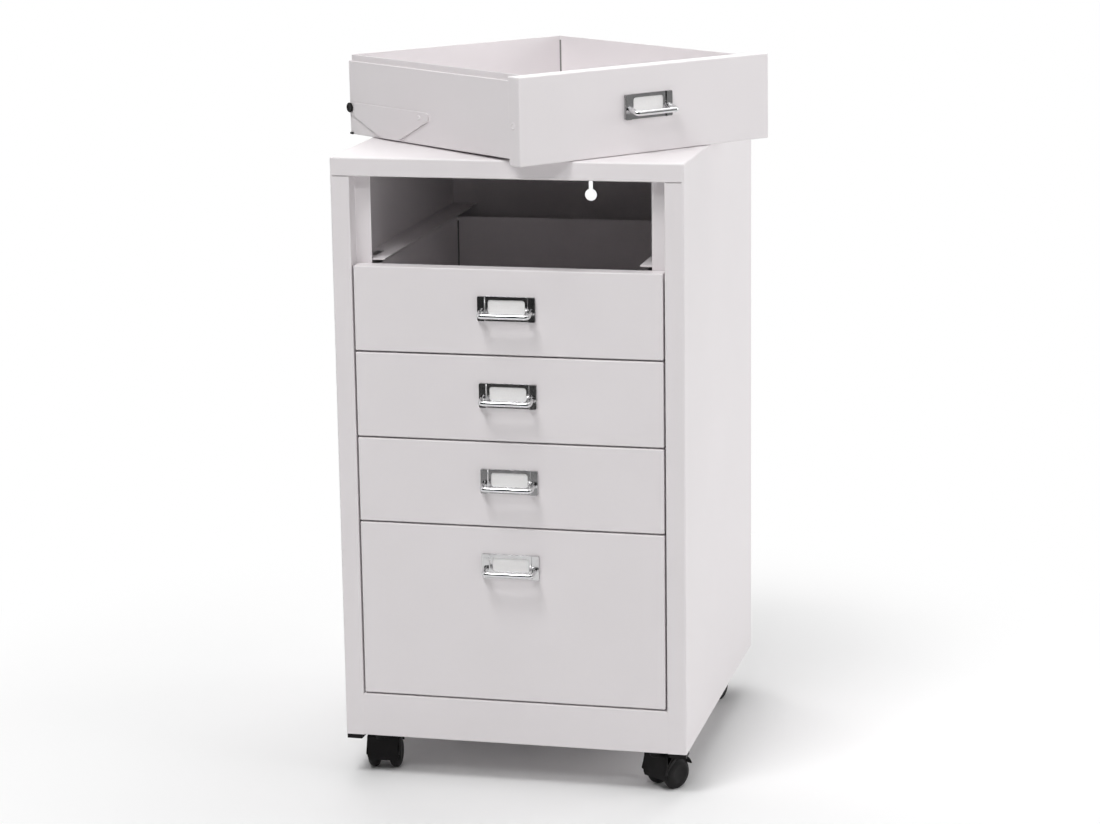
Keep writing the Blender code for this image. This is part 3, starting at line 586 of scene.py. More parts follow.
class MeshMaker:
    """Gathers grids and flat caps into one mesh.

    A margin is how far inside its rim a flat face has one more row of points, in edge radii.
    """

    SLAB_MARGIN = 2.5
    RING_MARGIN = 1.9
    FACING_WEIGHT = 1e-3

    def __init__(self) -> None:
        """Starts with no points."""
        self.points: list[np.ndarray] = []
        self.quads: list[np.ndarray] = []
        self.caps: list[list[int]] = []
        self.count = 0

    def grid(
        self, points: np.ndarray, around: bool = False, across: bool = False, over: bool = False
    ) -> "MeshMaker":
        """Adds a grid of quads, which face along the columns' run crossed with the rows' run.

        Args:
            points: rows by columns by three.
            around: joins the last column to the first.
            across: joins the last row to the first.
            over: turns the faces over.

        Returns:
            The maker itself.
        """
        rows, columns = points.shape[:2]
        index = np.arange(rows * columns).reshape(rows, columns) + self.count
        if around:
            index = np.concatenate([index, index[:, :1]], axis=1)
        if across:
            index = np.concatenate([index, index[:1]], axis=0)
        quads = np.stack([index[:-1, :-1], index[:-1, 1:], index[1:, 1:], index[1:, :-1]], axis=-1)
        quads = quads[..., ::-1] if over else quads
        self.points.append(points.reshape(-1, 3))
        self.quads.append(quads.reshape(-1, 4))
        self.count += rows * columns
        return self

    def cap(self, loop: np.ndarray) -> "MeshMaker":
        """Adds one flat face inside a closed loop of points."""
        self.caps.append((np.arange(len(loop)) + self.count).tolist())
        self.points.append(loop)
        self.count += len(loop)
        return self

    def slab(self, outline: np.ndarray, axes: Axes, low: float, high: float, edge: float) -> "MeshMaker":
        """Adds a flat plate with softened edges.

        The outline is drawn in along its own normals over a quarter circle at both faces. Both are capped.

        Args:
            outline: the closed outline, two numbers a point.
            axes: which axes the outline lies on.
            low: one face's place along the other axis.
            high: the other face's place.
            edge: the radius of the softened edges.

        Returns:
            The maker itself.
        """
        angle = np.radians(np.array([90.0, 60.0, 30.0, 0.0]))
        margin = [self.SLAB_MARGIN]
        inset = edge * np.concatenate([margin, 1 - np.cos(angle), 1 - np.cos(angle[::-1]), margin])
        drop = edge * (1 - np.sin(angle))
        place = np.concatenate([[low], low + drop, high - drop[::-1], [high]])
        grid = stacked(drawn_in(outline, inset), axes, place)
        return self.grid(grid, around=True).cap(grid[0]).cap(grid[-1])

    def ring(
        self, outer: np.ndarray, inner: np.ndarray, axes: Axes, low: float, high: float, edge: float
    ) -> "MeshMaker":
        """Adds a flat ring with softened edges on its upper face.

        The rows go up the inner wall, over a quarter circle to the face, across it, over another quarter
        circle and down the outer wall, and the back closes the ring.

        Args:
            outer: the outer outline, two numbers a point.
            inner: the inner outline, with as many points.
            axes: which axes the outlines lie on.
            low: the back's place along the other axis.
            high: the face's place.
            edge: the radius of the softened edges.

        Returns:
            The maker itself.
        """
        angle = np.radians(np.linspace(0, 90, 5))
        inset = np.concatenate([[0.0], edge * (1 - np.cos(angle)), [self.RING_MARGIN * edge]])
        drop = np.concatenate([[abs(high - low)], edge * (1 - np.sin(angle)), [0.0]])
        place = high - np.sign(high - low) * np.concatenate([drop, drop[::-1]])
        flat = np.concatenate([drawn_in(inner, -inset), drawn_in(outer, inset[::-1])])
        return self.grid(stacked(flat, axes, place), around=True, across=True)

    def shape(self, points: np.ndarray) -> "MeshMaker":
        """Adds a round body: a grid closed around, with flat ends."""
        return self.grid(points, around=True).cap(points[0]).cap(points[-1])

    def mesh(
        self, name: str, place: np.ndarray, outward: np.ndarray | None = None, laid: bool = False
    ) -> bpy.types.Mesh:
        """Makes the mesh, merged and with its faces outward.

        Args:
            name: the mesh's name.
            place: the matrix from the piece's own frame to the part's.
            outward: for an open sheet, the way its furthest face points, in the piece's own frame.
            laid: keeps the faces the way the grids laid them.

        Returns:
            The mesh.
        """
        points = np.concatenate(self.points) @ place[:3, :3].T + place[:3, 3]
        quads = np.concatenate(self.quads).tolist() if self.quads else []
        mesh = bpy.data.meshes.new(name)
        mesh.from_pydata(points.tolist(), [], quads + self.caps)
        work = bmesh.new()
        work.from_mesh(mesh)
        bmesh.ops.remove_doubles(work, verts=work.verts, dist=MERGE_DISTANCE)
        if not laid:
            bmesh.ops.recalc_face_normals(work, faces=work.faces)
        work.to_mesh(mesh)
        work.free()
        if outward is not None:
            self.face_out(mesh, place[:3, :3] @ outward)
        return mesh

    def face_out(self, mesh: bpy.types.Mesh, outward: np.ndarray) -> None:
        """Turns an open sheet over if its furthest face points the wrong way."""
        count = len(mesh.polygons)
        centres = np.zeros(count * 3)
        normals = np.zeros(count * 3)
        mesh.polygons.foreach_get("center", centres)
        mesh.polygons.foreach_get("normal", normals)
        reach = centres.reshape(-1, 3) @ outward
        facing = normals.reshape(-1, 3) @ outward
        furthest = np.argmax(reach + self.FACING_WEIGHT * np.abs(facing))
        if facing[furthest] < 0:
            mesh.flip_normals()


@dataclass
class Shop:
    """Makes finished objects out of meshes and puts them on the part."""

    nodes: dict[str, bpy.types.Object]
    finishes: Finishes
    crease: float = 38.0

    def piece(
        self,
        name: str,
        mesh: bpy.types.Mesh,
        finish: bpy.types.Material,
        slot: Slot,
        body: str,
        replaces: tuple[str, ...] = (),
        sheet: float = 0.0,
    ) -> None:
        """Adds a piece that moves with a body.

        Args:
            name: the piece's name.
            mesh: its surface; an open sheet gets its thickness here.
            finish: its material.
            slot: the slot that the finish belongs to; not used.
            body: the body that it rides on.
            replaces: the CAD nodes that it stands for.
            sheet: the thickness of sheet metal, inward from the surface.
        """
        if sheet:
            mesh = self.thicken(name, mesh, sheet)
        mesh.shade_smooth()
        mesh.set_sharp_from_angle(angle=math.radians(self.crease))
        mesh.materials.append(finish)
        obj = bpy.data.objects.new(name, mesh)
        bpy.context.scene.collection.objects.link(obj)
        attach(obj, body)
        if replaces:
            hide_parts(*replaces)
        LOG.info("%s on %s: %d faces", name, body, len(mesh.polygons))

    @staticmethod
    def thicken(name: str, mesh: bpy.types.Mesh, sheet: float) -> bpy.types.Mesh:
        """Gives an open surface its thickness with Solidify and returns the finished mesh."""
        blank = bpy.data.objects.new("blank", mesh)
        bpy.context.scene.collection.objects.link(blank)
        solid = blank.modifiers.new("sheet", "SOLIDIFY")
        solid.thickness = sheet
        solid.offset = -1.0
        solid.use_even_offset = True
        solid.use_rim = True
        graph = bpy.context.evaluated_depsgraph_get()
        made = bpy.data.meshes.new_from_object(blank.evaluated_get(graph))
        made.name = f"{name}_sheet"
        bpy.data.objects.remove(blank, do_unlink=True)
        return made

    def dress(self, node: str, finish: bpy.types.Material) -> None:
        """Gives a CAD node a better material."""
        mesh = self.nodes[node].data
        mesh.materials.clear()
        mesh.materials.append(finish)
        LOG.info("%s dressed in %s", node, finish.name)


def moved(x: float, y: float, z: float, turn: float = 0.0, tilt: float = 0.0) -> np.ndarray:
    """Gives the matrix of a place: tilted about X, then turned about Z, then moved.

    Args:
        x: place along X.
        y: place along Y.
        z: place along Z.
        turn: angle about Z in radians.
        tilt: angle about X in radians.

    Returns:
        A matrix of four by four.
    """
    matrix = Matrix.Translation((x, y, z)) @ Matrix.Rotation(turn, 4, "Z") @ Matrix.Rotation(tilt, 4, "X")
    return np.array(matrix)


@dataclass
class Assembly:
    """Pieces that share a place and the start of their names."""

    shop: Shop
    name: str
    place: np.ndarray

    def add(
        self,
        word: str,
        maker: MeshMaker,
        finish: bpy.types.Material,
        slot: Slot,
        node: str = "",
        body: str = "",
        sheet: float = 0.0,
    ) -> None:
        """Adds a piece. Sheet is an open surface whose foremost face looks forward.

        Args:
            word: the piece's name after the assembly's.
            maker: its surface.
            finish: its material.
            slot: the slot that the finish belongs to.
            node: the CAD node that it stands for, after the assembly's name.
            body: the body that it rides on, if that isn't the assembly's own.
            sheet: the thickness of sheet metal.
        """
        name = f"{self.name}_{word}"
        mesh = maker.mesh(name, self.place, FORWARD if sheet else None)
        replaces = (f"{self.name}_{node}",) if node else ()
        self.shop.piece(name, mesh, finish, slot, body or self.name, replaces, sheet)


@dataclass
class Case:
    """The folded case: wrapper, plinth, back, base, runner panels and post pads."""

    shop: Shop
    x: float = -0.010
    y: float = 0.025
    half_width: float = 0.200
    half_depth: float = 0.215
    bottom: float = 0.050
    top: float = 0.721
    sheet: float = 0.0012
    bend: float = 0.0022
    fine_bend: float = 0.0014
    band_bottom: float = 0.700
    post_top: float = 0.6995
    opening_half: float = 0.178
    jamb_half: float = 0.160
    jamb_recess: float = 0.021
    plinth_top: float = 0.100
    plinth_depth: float = 0.0165
    bead_half: float = 0.0013
    bead_offset: float = 0.0004
    bead_sink: float = 0.00012
    bead_corner: float = 0.0004
    bead_depth: float = 0.0006
    bead_edge: float = 0.0001
    corner_floor: float = 0.0002
    clear: float = 0.0003
    guard: float = 0.0004

    @property
    def place(self) -> np.ndarray:
        """The matrix from the case's middle to the part's frame."""
        return moved(self.x, self.y, 0.0)

    def hood_grid(self) -> np.ndarray:
        """Gives the top and sides as one grid.

        The columns run up the left side, round the bend, over the top and down the right side. The rows run
        forward and then round the front bend, where the outline draws in and its corner radius shrinks.
        """
        deep = self.half_depth
        run = np.array([[0, deep], [0, -deep], [self.bend + self.guard, -deep]])
        rows = folded(run, self.bend)[:-1]
        inset = rows[:, :1]
        radius = np.maximum(self.bend - inset, self.corner_floor)
        left = np.concatenate([[np.pi], np.linspace(np.pi, np.pi / 2, 7), [np.pi / 2]])
        angle = np.concatenate([left, np.pi - left[::-1]])
        sign = np.repeat([-1.0, 1.0], len(left))
        slip = np.zeros((2, len(angle)))
        slip[1, [0, -1]] = -self.guard
        slip[0, [len(left) - 1, len(left)]] = [self.guard, -self.guard]
        across = sign * (self.half_width - inset - radius) + radius * np.cos(angle) + slip[0]
        up = (self.top - inset - radius) + radius * np.sin(angle) + slip[1]
        across = np.concatenate([across[:, :1], across, across[:, -1:]], axis=1)
        low = np.full((len(rows), 1), self.bottom)
        up = np.concatenate([low, up, low], axis=1)
        along = np.broadcast_to(rows[:, 1:], across.shape)
        return np.stack([across, along, up], axis=-1)

    def build_wrapper(self) -> None:
        """Folds the top, sides, front band, posts and jambs, with a seam over each post."""
        maker = MeshMaker().grid(self.hood_grid(), over=True)
        lip = self.bend + self.guard
        front = -self.half_depth
        jamb_face = front + self.jamb_recess
        band = np.array([[front, self.top - lip], [front, self.band_bottom], [jamb_face, self.band_bottom]])
        reach = self.half_width - lip
        maker.grid(carried(folded(band, self.fine_bend), (1, 2), np.array([-reach, reach])), over=True)
        post = np.array(
            [
                [reach, front],
                [self.opening_half, front],
                [self.opening_half, jamb_face],
                [self.jamb_half, jamb_face],
            ]
        )
        heights = np.array([self.bottom, self.post_top])
        for side in Side:
            line = folded(post, self.fine_bend) * [side.value, 1]
            maker.grid(carried(line, (0, 1), heights), over=side is Side.LEFT)
        mesh = maker.mesh("case_skin", self.place, laid=True)
        paint = self.shop.finishes.paint
        self.shop.piece("case_skin", mesh, paint, Slot.PAINT, "case", ("case_wrapper",), self.sheet)

    def build_plinth(self) -> None:
        """Folds the rail under the bottom drawer: a face with a flange back at both edges."""
        front = -self.half_depth
        back = front + self.plinth_depth
        top = self.plinth_top
        low = self.bottom
        line = np.array([[back, top], [front, top], [front, low], [back, low]])
        reach = self.opening_half - self.clear
        maker = MeshMaker().grid(carried(folded(line, self.fine_bend), (1, 2), np.array([-reach, reach])))
        mesh = maker.mesh("plinth_face", self.place, FORWARD)
        paint = self.shop.finishes.paint
        self.shop.piece("plinth_face", mesh, paint, Slot.PAINT, "case", ("plinth_rail",), self.sheet)

    def build_seam_beads(self) -> None:
        """Fills the seam beside the plinth: a shallow strip of paint that ends just behind both faces."""
        low = self.bottom + self.fine_bend
        high = self.plinth_top - self.fine_bend
        near = -self.half_depth + self.bead_sink
        half = np.array([[self.bead_half, (high - low) / 2]])
        outline = rectangles(half, np.array([self.bead_corner]))[0] + [0.0, (low + high) / 2]
        maker = MeshMaker()
        for side in Side:
            shifted = outline + [side.value * (self.opening_half + self.bead_offset), 0.0]
            maker.slab(shifted, (0, 2), near, near + self.bead_depth, self.bead_edge)
        mesh = maker.mesh("plinth_seam_beads", self.place)
        self.shop.piece("plinth_seam_beads", mesh, self.shop.finishes.paint, Slot.PAINT, "case")

    def build(self) -> None:
        """Builds the case's own pieces and dresses the rest."""
        self.build_wrapper()
        self.build_plinth()
        self.build_seam_beads()
        for node in ("back_panel", "base_pan", "left_liner", "right_liner"):
            self.shop.dress(node, self.shop.finishes.paint)
        for node in ("left_post_pad", "right_post_pad"):
            self.shop.dress(node, self.shop.finishes.foot)


@dataclass
class Drawer(Assembly):
    """A drawer: folded front, folded box, pressed label plate, rod pull and card."""

    height: float
    front_half: float = 0.176
    front_depth: float = 0.020
    front_flange: float = 0.030
    front_bend: float = 0.0015
    front_sheet: float = 0.0012
    front_overlap: float = 0.002
    front_corner: float = 0.0012
    corner_floor: float = 0.0002
    rivet_place: Pair = (0.0115, 0.45)
    rivet_head: tuple[Pair, ...] = (
        (-0.0004, 0.0044),
        (0.0002, 0.0044),
        (0.0005, 0.0038),
        (0.0006, 0.0026),
        (0.0002, 0.0021),
        (-0.0009, 0.0018),
        (-0.0009, 0.0),
    )
    box_half: float = 0.157
    box_end: float = 0.360
    box_rise: float = 0.003
    box_drop: float = 0.001
    box_sheet: float = 0.001
    box_bend: float = 0.0013
    box_corner: Pair = (0.0016, 0.0004)
    floor_overlap: Pair = (0.002, 0.003)
    fold_bends: tuple[float, ...] = (0.0005, 0.0003, 0.0003, 0.00035, 0.00035, 0.0008)
    lip_height: float = 0.005
    lip_step: float = 0.0042
    lip_slope: float = 0.0015
    hem: float = 0.0018
    groove_depth: float = 0.0012
    seam_line: tuple[Pair, ...] = ((-0.0014, -0.0001), (-0.0005, -0.0005), (-0.0001, -0.0014))
    seam_gap: Pair = (0.003, 0.005)
    seam_sheet: float = 0.0001
    clear: float = 0.0003
    pull_drop: float = 0.044
    plate_half: Pair = (0.033, 0.014)
    plate_corner: float = 0.0015
    plate_depth: float = 0.0015
    plate_edge: float = 0.00015
    wing_start: float = 0.0238
    wing_slope: float = 0.0011
    wing_raise: float = 0.0016
    window_half: Pair = (0.021, 0.008)
    window_rise: float = 0.0018
    window_corner: float = 0.003
    rod_radius: float = 0.003
    rod_reach: float = 0.016
    rod_drop: float = 0.0042
    rod_root_drop: float = 0.0018
    rod_bend: float = 0.0037
    rod_half: float = 0.0279
    rod_guard: float = 0.0006

    def build_front(self) -> None:
        """Folds the front: a flat face, a bend to a return on each edge and a flange behind.

        The profile's first number is how far it lies inside the front's outline, its second the depth behind
        the face, and it is carried round the outline.
        """
        deep = self.front_depth
        start = self.front_bend + self.front_overlap
        line = np.array([[start, 0], [0, 0], [0, deep], [self.front_flange, deep]])
        rows = folded(line, self.front_bend)
        half = np.array([self.front_half, self.height / 2]) - rows[:, :1]
        loops = rectangles(half, np.maximum(self.front_corner - rows[:, 0], self.corner_floor))
        depth = np.broadcast_to(rows[:, 1:], loops.shape[:2])
        grid = np.stack([loops[..., 0], depth, loops[..., 1] + self.height / 2], axis=-1)
        maker = MeshMaker().grid(grid, around=True).cap(grid[0])
        self.add("face", maker, self.shop.finishes.paint, Slot.PAINT, "front", sheet=self.front_sheet)

    def build_rivets(self) -> None:
        """Sets a flat rivet in each side return: a low domed head, turned round its own axis."""
        head = np.array(self.rivet_head)
        maker = MeshMaker()
        for side in Side:
            middle = [side.value * self.front_half, self.rivet_place[0], self.height * self.rivet_place[1]]
            maker.grid(turned(head * [side.value, 1.0], 28) + middle, around=True)
        self.add("side_rivets", maker, self.shop.finishes.paint, Slot.PAINT)

    def box_profile(self) -> tuple[np.ndarray, np.ndarray]:
        """Gives the section of the box's side walls and of its end walls, with as many rows.

        The side runs from the floor's underside up the skin, over its edge into a groove, up the lip and down
        the inner wall. A row's first number is how far it lies inside the outline, its second the height.
        The end walls have no groove: there the row lies inside by what the side has beyond its step, and its
        height never falls on the way up.

        Returns:
            The side's rows and the end's rows.
        """
        low = self.box_rise
        skin_top = self.height - self.box_drop - self.lip_height - self.lip_slope
        lip_top = self.height - self.box_drop
        inner = self.lip_step + self.box_sheet
        corners = np.array(
            [
                [self.box_bend + self.floor_overlap[0], low],
                [0.0, low],
                [0.0, skin_top],
                [self.hem, skin_top - self.groove_depth],
                [self.lip_step, skin_top - self.groove_depth],
                [self.lip_step, lip_top],
                [inner, lip_top],
                [inner, low + self.box_sheet],
                [inner + self.floor_overlap[1], low + self.box_sheet],
            ]
        )
        bends = np.array([self.box_bend, *self.fold_bends])
        steps = 5
        side = folded(corners, bends, steps, guard=0.0001)
        order = np.arange(len(side))
        per_bend = steps + 3
        lip_row = 5 * per_bend
        inset = np.where(order <= per_bend, side[:, 0], np.maximum(side[:, 0] - self.lip_step, 0.0))
        height = np.where(order <= lip_row, np.maximum.accumulate(side[:, 1]), side[:, 1])
        return side, np.stack([inset, height], axis=1)

    def build_box(self) -> None:
        """Folds the box: the wall's section is carried round the outline, and both floors close it."""
        side, end = self.box_profile()
        front = self.front_depth + self.clear
        half_length = (self.box_end - front) / 2
        half = np.stack([self.box_half - side[:, 0], half_length - end[:, 0]], axis=1)
        largest, least = self.box_corner
        corner = np.maximum(largest - np.minimum(side[:, 0], end[:, 0]), least)
        loops = rectangles(half, corner, guard=0.0002)
        beside = np.abs(loops[0, :, 0]) - half[0, 0] > np.abs(loops[0, :, 1]) - half[0, 1]
        up = np.where(beside, side[:, 1:], end[:, 1:])
        grid = np.stack([loops[..., 0], loops[..., 1] + front + half_length, up], axis=-1)
        self.add("tray", MeshMaker().shape(grid), self.shop.finishes.paint, Slot.PAINT, "box")

    def build_seams(self) -> None:
        """Lays painted shade in the rear corners' open seams: thin dark strips in the inner corners, floor to
        lip.
        """
        low = self.box_rise + self.seam_gap[0]
        top = self.height - self.box_drop - self.seam_gap[1]
        wall = self.box_half - self.lip_step - self.box_sheet
        rear = self.box_end - self.box_sheet
        maker = MeshMaker()
        for side in Side:
            corner = np.array([wall * side.value, rear])
            line = corner + np.array(self.seam_line) * [side.value, 1]
            maker.grid(carried(line, (0, 1), np.array([low, top])))
        # The strips wear the dark seam finish: painted shade of the open seam, not a part.
        self.add("corner_seam_shade", maker, self.shop.finishes.shadow, Slot.PAINT, sheet=self.seam_sheet)

    def wing(self, side: Side, start: float) -> np.ndarray:
        """Gives the outline of a plate's wing: square at its fold, with the plate's corners beyond.

        Args:
            side: which end of the plate it is.
            start: how far from the plate's middle it starts.

        Returns:
            The outline, anticlockwise.
        """
        wide, tall = self.plate_half
        corner = self.plate_corner
        low = arc((wide - corner, corner - tall), corner, -90, 0, 6)
        high = arc((wide - corner, tall - corner), corner, 0, 90, 6)
        line = np.concatenate([[[start, -tall]], low, high, [[start, tall]]])
        return line[:: side.value] * [side.value, 1.0]

    def build_plate(self) -> None:
        """Presses the label plate: a flat ring round the window, and a wing at each end raised over a slope.

        A wing's rows are its foot on the ring, its outline drawn back by the slope at the fold, and the same
        drawn in by the edge radius.
        """
        centre = np.array([0.0, self.height - self.pull_drop])
        window = self.dense_rectangle(self.window_half, self.window_corner) + centre + [0.0, self.window_rise]
        plate = self.dense_rectangle(self.plate_half, self.plate_corner) + centre
        face = -self.clear - self.plate_depth
        top = face - self.wing_raise
        maker = MeshMaker().ring(plate, window, (0, 2), -self.clear, face, self.plate_edge)
        for side in Side:
            foot = self.wing(side, self.wing_start) + centre
            brow = self.wing(side, self.wing_start + self.wing_slope) + centre
            rows = np.concatenate([[foot], drawn_in(brow, np.array([0.0, self.plate_edge]))])
            places = np.array([face + self.plate_edge, top + self.plate_edge, top])
            maker.shape(stacked(rows, (0, 2), places))
        self.add("label_plate", maker, self.shop.finishes.plate, Slot.CHROME, "pull_plate")

    @staticmethod
    def dense_rectangle(half: Pair, corner: float, per_side: int = 12) -> np.ndarray:
        """Gives a rounded rectangle with points spread along its sides as well as round its corners.

        Args:
            half: half the width and half the height.
            corner: the corner radius.
            per_side: how many points each side has.

        Returns:
            The points, anticlockwise, alike in number for any size.
        """
        spread = np.linspace(-1, 1, per_side)
        straight = np.array(half) - corner
        parts = []
        for turn in range(4):
            swap = turn % 2
            side = straight[1 - swap]
            reach = half[swap]
            lane = np.stack([np.full(per_side, reach), spread * side], axis=1)
            bend = arc((reach - corner, side), corner, 15, 75, 4)
            angle = turn * np.pi / 2
            spin = np.array([[np.cos(angle), -np.sin(angle)], [np.sin(angle), np.cos(angle)]])
            parts.append(np.concatenate([lane, bend]) @ spin.T)
        return np.concatenate(parts)

    def build_bar(self) -> None:
        """Bends the rod pull: a circle carried along an arm, a bend, the bar, a bend and an arm.

        The path lies in one sloping plane, so the circle stands on that plane's normal and the normal's cross
        with the path.
        """
        centre = self.height - self.pull_drop
        face = -self.clear - self.plate_depth
        slope = math.atan2(self.rod_drop, self.rod_reach)
        lead = np.array([0.0, math.cos(slope), math.sin(slope)])
        across = np.array([1.0, 0.0, 0.0])
        reach = self.rod_half
        root_y = face - self.clear - self.rod_radius * math.sin(slope)
        root = np.array([0.0, root_y, centre - self.rod_root_drop])
        length = (root_y - face + self.rod_reach) / lead[1]
        arms = np.array([[reach, 0], [reach, -length], [-reach, -length], [-reach, 0]])
        flat = folded(arms, self.rod_bend, steps=12, guard=self.rod_guard)
        path = root + flat[:, :1] * across + flat[:, 1:] * lead
        ahead = unit(np.gradient(path, axis=0))
        normal = np.cross(lead, across)
        beside = np.cross(ahead, normal)
        angle = np.linspace(0, 2 * np.pi, 24, endpoint=False)[None, :, None]
        ring = np.cos(angle) * normal + np.sin(angle) * beside[:, None, :]
        grid = path[:, None, :] + self.rod_radius * ring
        maker = MeshMaker().shape(grid)
        self.add("rod_pull", maker, self.shop.finishes.chrome, Slot.CHROME, "pull_bar")

    def build(self) -> None:
        """Builds the drawer's pieces and dresses its card."""
        self.build_front()
        self.build_rivets()
        self.build_box()
        self.build_seams()
        self.build_plate()
        self.build_bar()
        self.shop.dress(f"{self.name}_label_card", self.shop.finishes.card)


@dataclass
class StopGear(Assembly):
    """The stop lever with its roller and the glide, on one side of the loose drawer."""

    side: Side
    box_half: float = 0.157
    box_end: float = 0.360
    box_rise: float = 0.003
    clear: float = 0.0003
    lever_sheet: float = 0.0015
    lever_length: float = 0.161
    lever_height: float = 0.0375
    lever_belly: float = 0.001
    tail_height: float = 0.0125
    nose_height: float = 0.009
    belly_front: float = 0.061
    belly_rear: float = 0.096
    lever_corners: tuple[float, ...] = (0.0040, 0.0045, 0.006, 0.006, 0.0035, 0.0035)
    lever_edge: float = 0.0003
    pivot_setback: float = 0.018
    pivot_height: float = 0.031
    rivet_head: tuple[Pair, ...] = (
        (0.0, 0.0030),
        (0.0004, 0.0030),
        (0.0008, 0.0026),
        (0.0010, 0.0018),
        (0.0007, 0.0012),
    )
    end_gap: float = 0.0015
    roller_radius: float = 0.00575
    roller_width: float = 0.0025
    roller_height: float = 0.0315
    roller_setback: float = 0.005
    roller_edge: float = 0.0010
    roller_core: float = 0.0004
    dish_rim: Pair = (0.0034, 0.0030)
    dish_depth: float = 0.0003
    guard: float = 0.0004
    glide_half: Triple = (0.00075, 0.0035, 0.0013)
    glide_gap: float = 0.001
    glide_power: float = 0.55

    @property
    def word(self) -> str:
        """The side as a word."""
        return self.side.name.lower()

    def outward(self, start: float, end: float) -> Pair:
        """Gives two places outside the box's side, in rising order along X."""
        first = self.side.value * (self.box_half + start)
        second = self.side.value * (self.box_half + end)
        return min(first, second), max(first, second)

    def build_lever(self) -> None:
        """Stamps the lever: a flat outline with round corners, and a domed rivet on its pivot."""
        rear = self.box_end - self.end_gap
        nose = rear - self.lever_length
        low = self.box_rise
        top = low + self.lever_height
        outline = np.array(
            [
                [nose, top],
                [nose, top - self.nose_height],
                [nose + self.belly_front, low + self.lever_belly],
                [nose + self.belly_rear, low + self.lever_belly],
                [rear, top - self.tail_height],
                [rear, top],
            ]
        )
        shape = rounded(outline, np.array(self.lever_corners))
        faces = self.outward(self.clear, self.clear + self.lever_sheet)
        maker = MeshMaker().slab(shape, (1, 2), *faces, self.lever_edge)
        body = f"{self.word}_stop_lever"
        paint = self.shop.finishes.paint
        self.add("lever_plate", maker, paint, Slot.PAINT, "stop_lever", body)
        grid = turned(np.array(self.rivet_head) * [self.side.value, 1.0], 28)
        face = self.side.value * (self.box_half + self.clear + self.lever_sheet)
        grid = grid + [face, nose + self.pivot_setback, low + self.pivot_height]
        self.add("pivot_rivet", MeshMaker().shape(grid), paint, Slot.PAINT, body=body)

    def build_roller(self) -> None:
        """Turns the roller: a disc with round edges and a shallow dish in its outer face."""
        half = self.roller_width / 2
        edge = self.roller_edge
        flat = self.roller_radius - edge
        core = self.roller_core
        dish = half - self.dish_depth
        profile = np.concatenate(
            [
                [[-half, core], [-half, flat - self.guard]],
                arc((-half + edge, flat), edge, 180, 90, 4),
                arc((half - edge, flat), edge, 90, 0, 4),
                [[half, self.dish_rim[0]], [dish, self.dish_rim[1]], [dish, core]],
            ]
        )
        near = self.box_half + 2 * self.clear + self.lever_sheet
        centre = [
            self.side.value * (near + half),
            self.box_end - self.roller_setback,
            self.box_rise + self.roller_height,
        ]
        grid = turned(profile * [self.side.value, 1.0], 40) + centre
        maker = MeshMaker().shape(grid)
        body = f"{self.word}_stop_roller"
        self.add("roller", maker, self.shop.finishes.foot, Slot.PLASTIC, "stop_roller", body)

    def build_glide(self) -> None:
        """Moulds the glide: a superellipsoid, whose cosines and sines are raised to a power below one."""
        across, along, up = self.glide_half
        lift = np.radians(np.linspace(-89, 89, 13))[:, None]
        round_angle = np.linspace(0, 2 * np.pi, 28, endpoint=False)[None, :]
        power = self.glide_power
        wide = np.abs(np.cos(lift)) ** power
        x = across * wide * np.sign(np.cos(round_angle)) * np.abs(np.cos(round_angle)) ** power
        y = along * wide * np.sign(np.sin(round_angle)) * np.abs(np.sin(round_angle)) ** power
        z = up * np.sign(np.sin(lift)) * np.abs(np.sin(lift)) ** power * np.ones_like(round_angle)
        centre = [
            self.side.value * (self.box_half + self.clear + across),
            self.box_end - self.glide_gap - along,
            self.box_rise + up,
        ]
        grid = np.stack([x, y, z], axis=-1) + centre
        maker = MeshMaker().shape(grid)
        self.add("glide_foot", maker, self.shop.finishes.foot, Slot.PLASTIC, "glide", "drawer_1")

    def build(self) -> None:
        """Builds the lever, its roller and the glide."""
        self.build_lever()
        self.build_roller()
        self.build_glide()


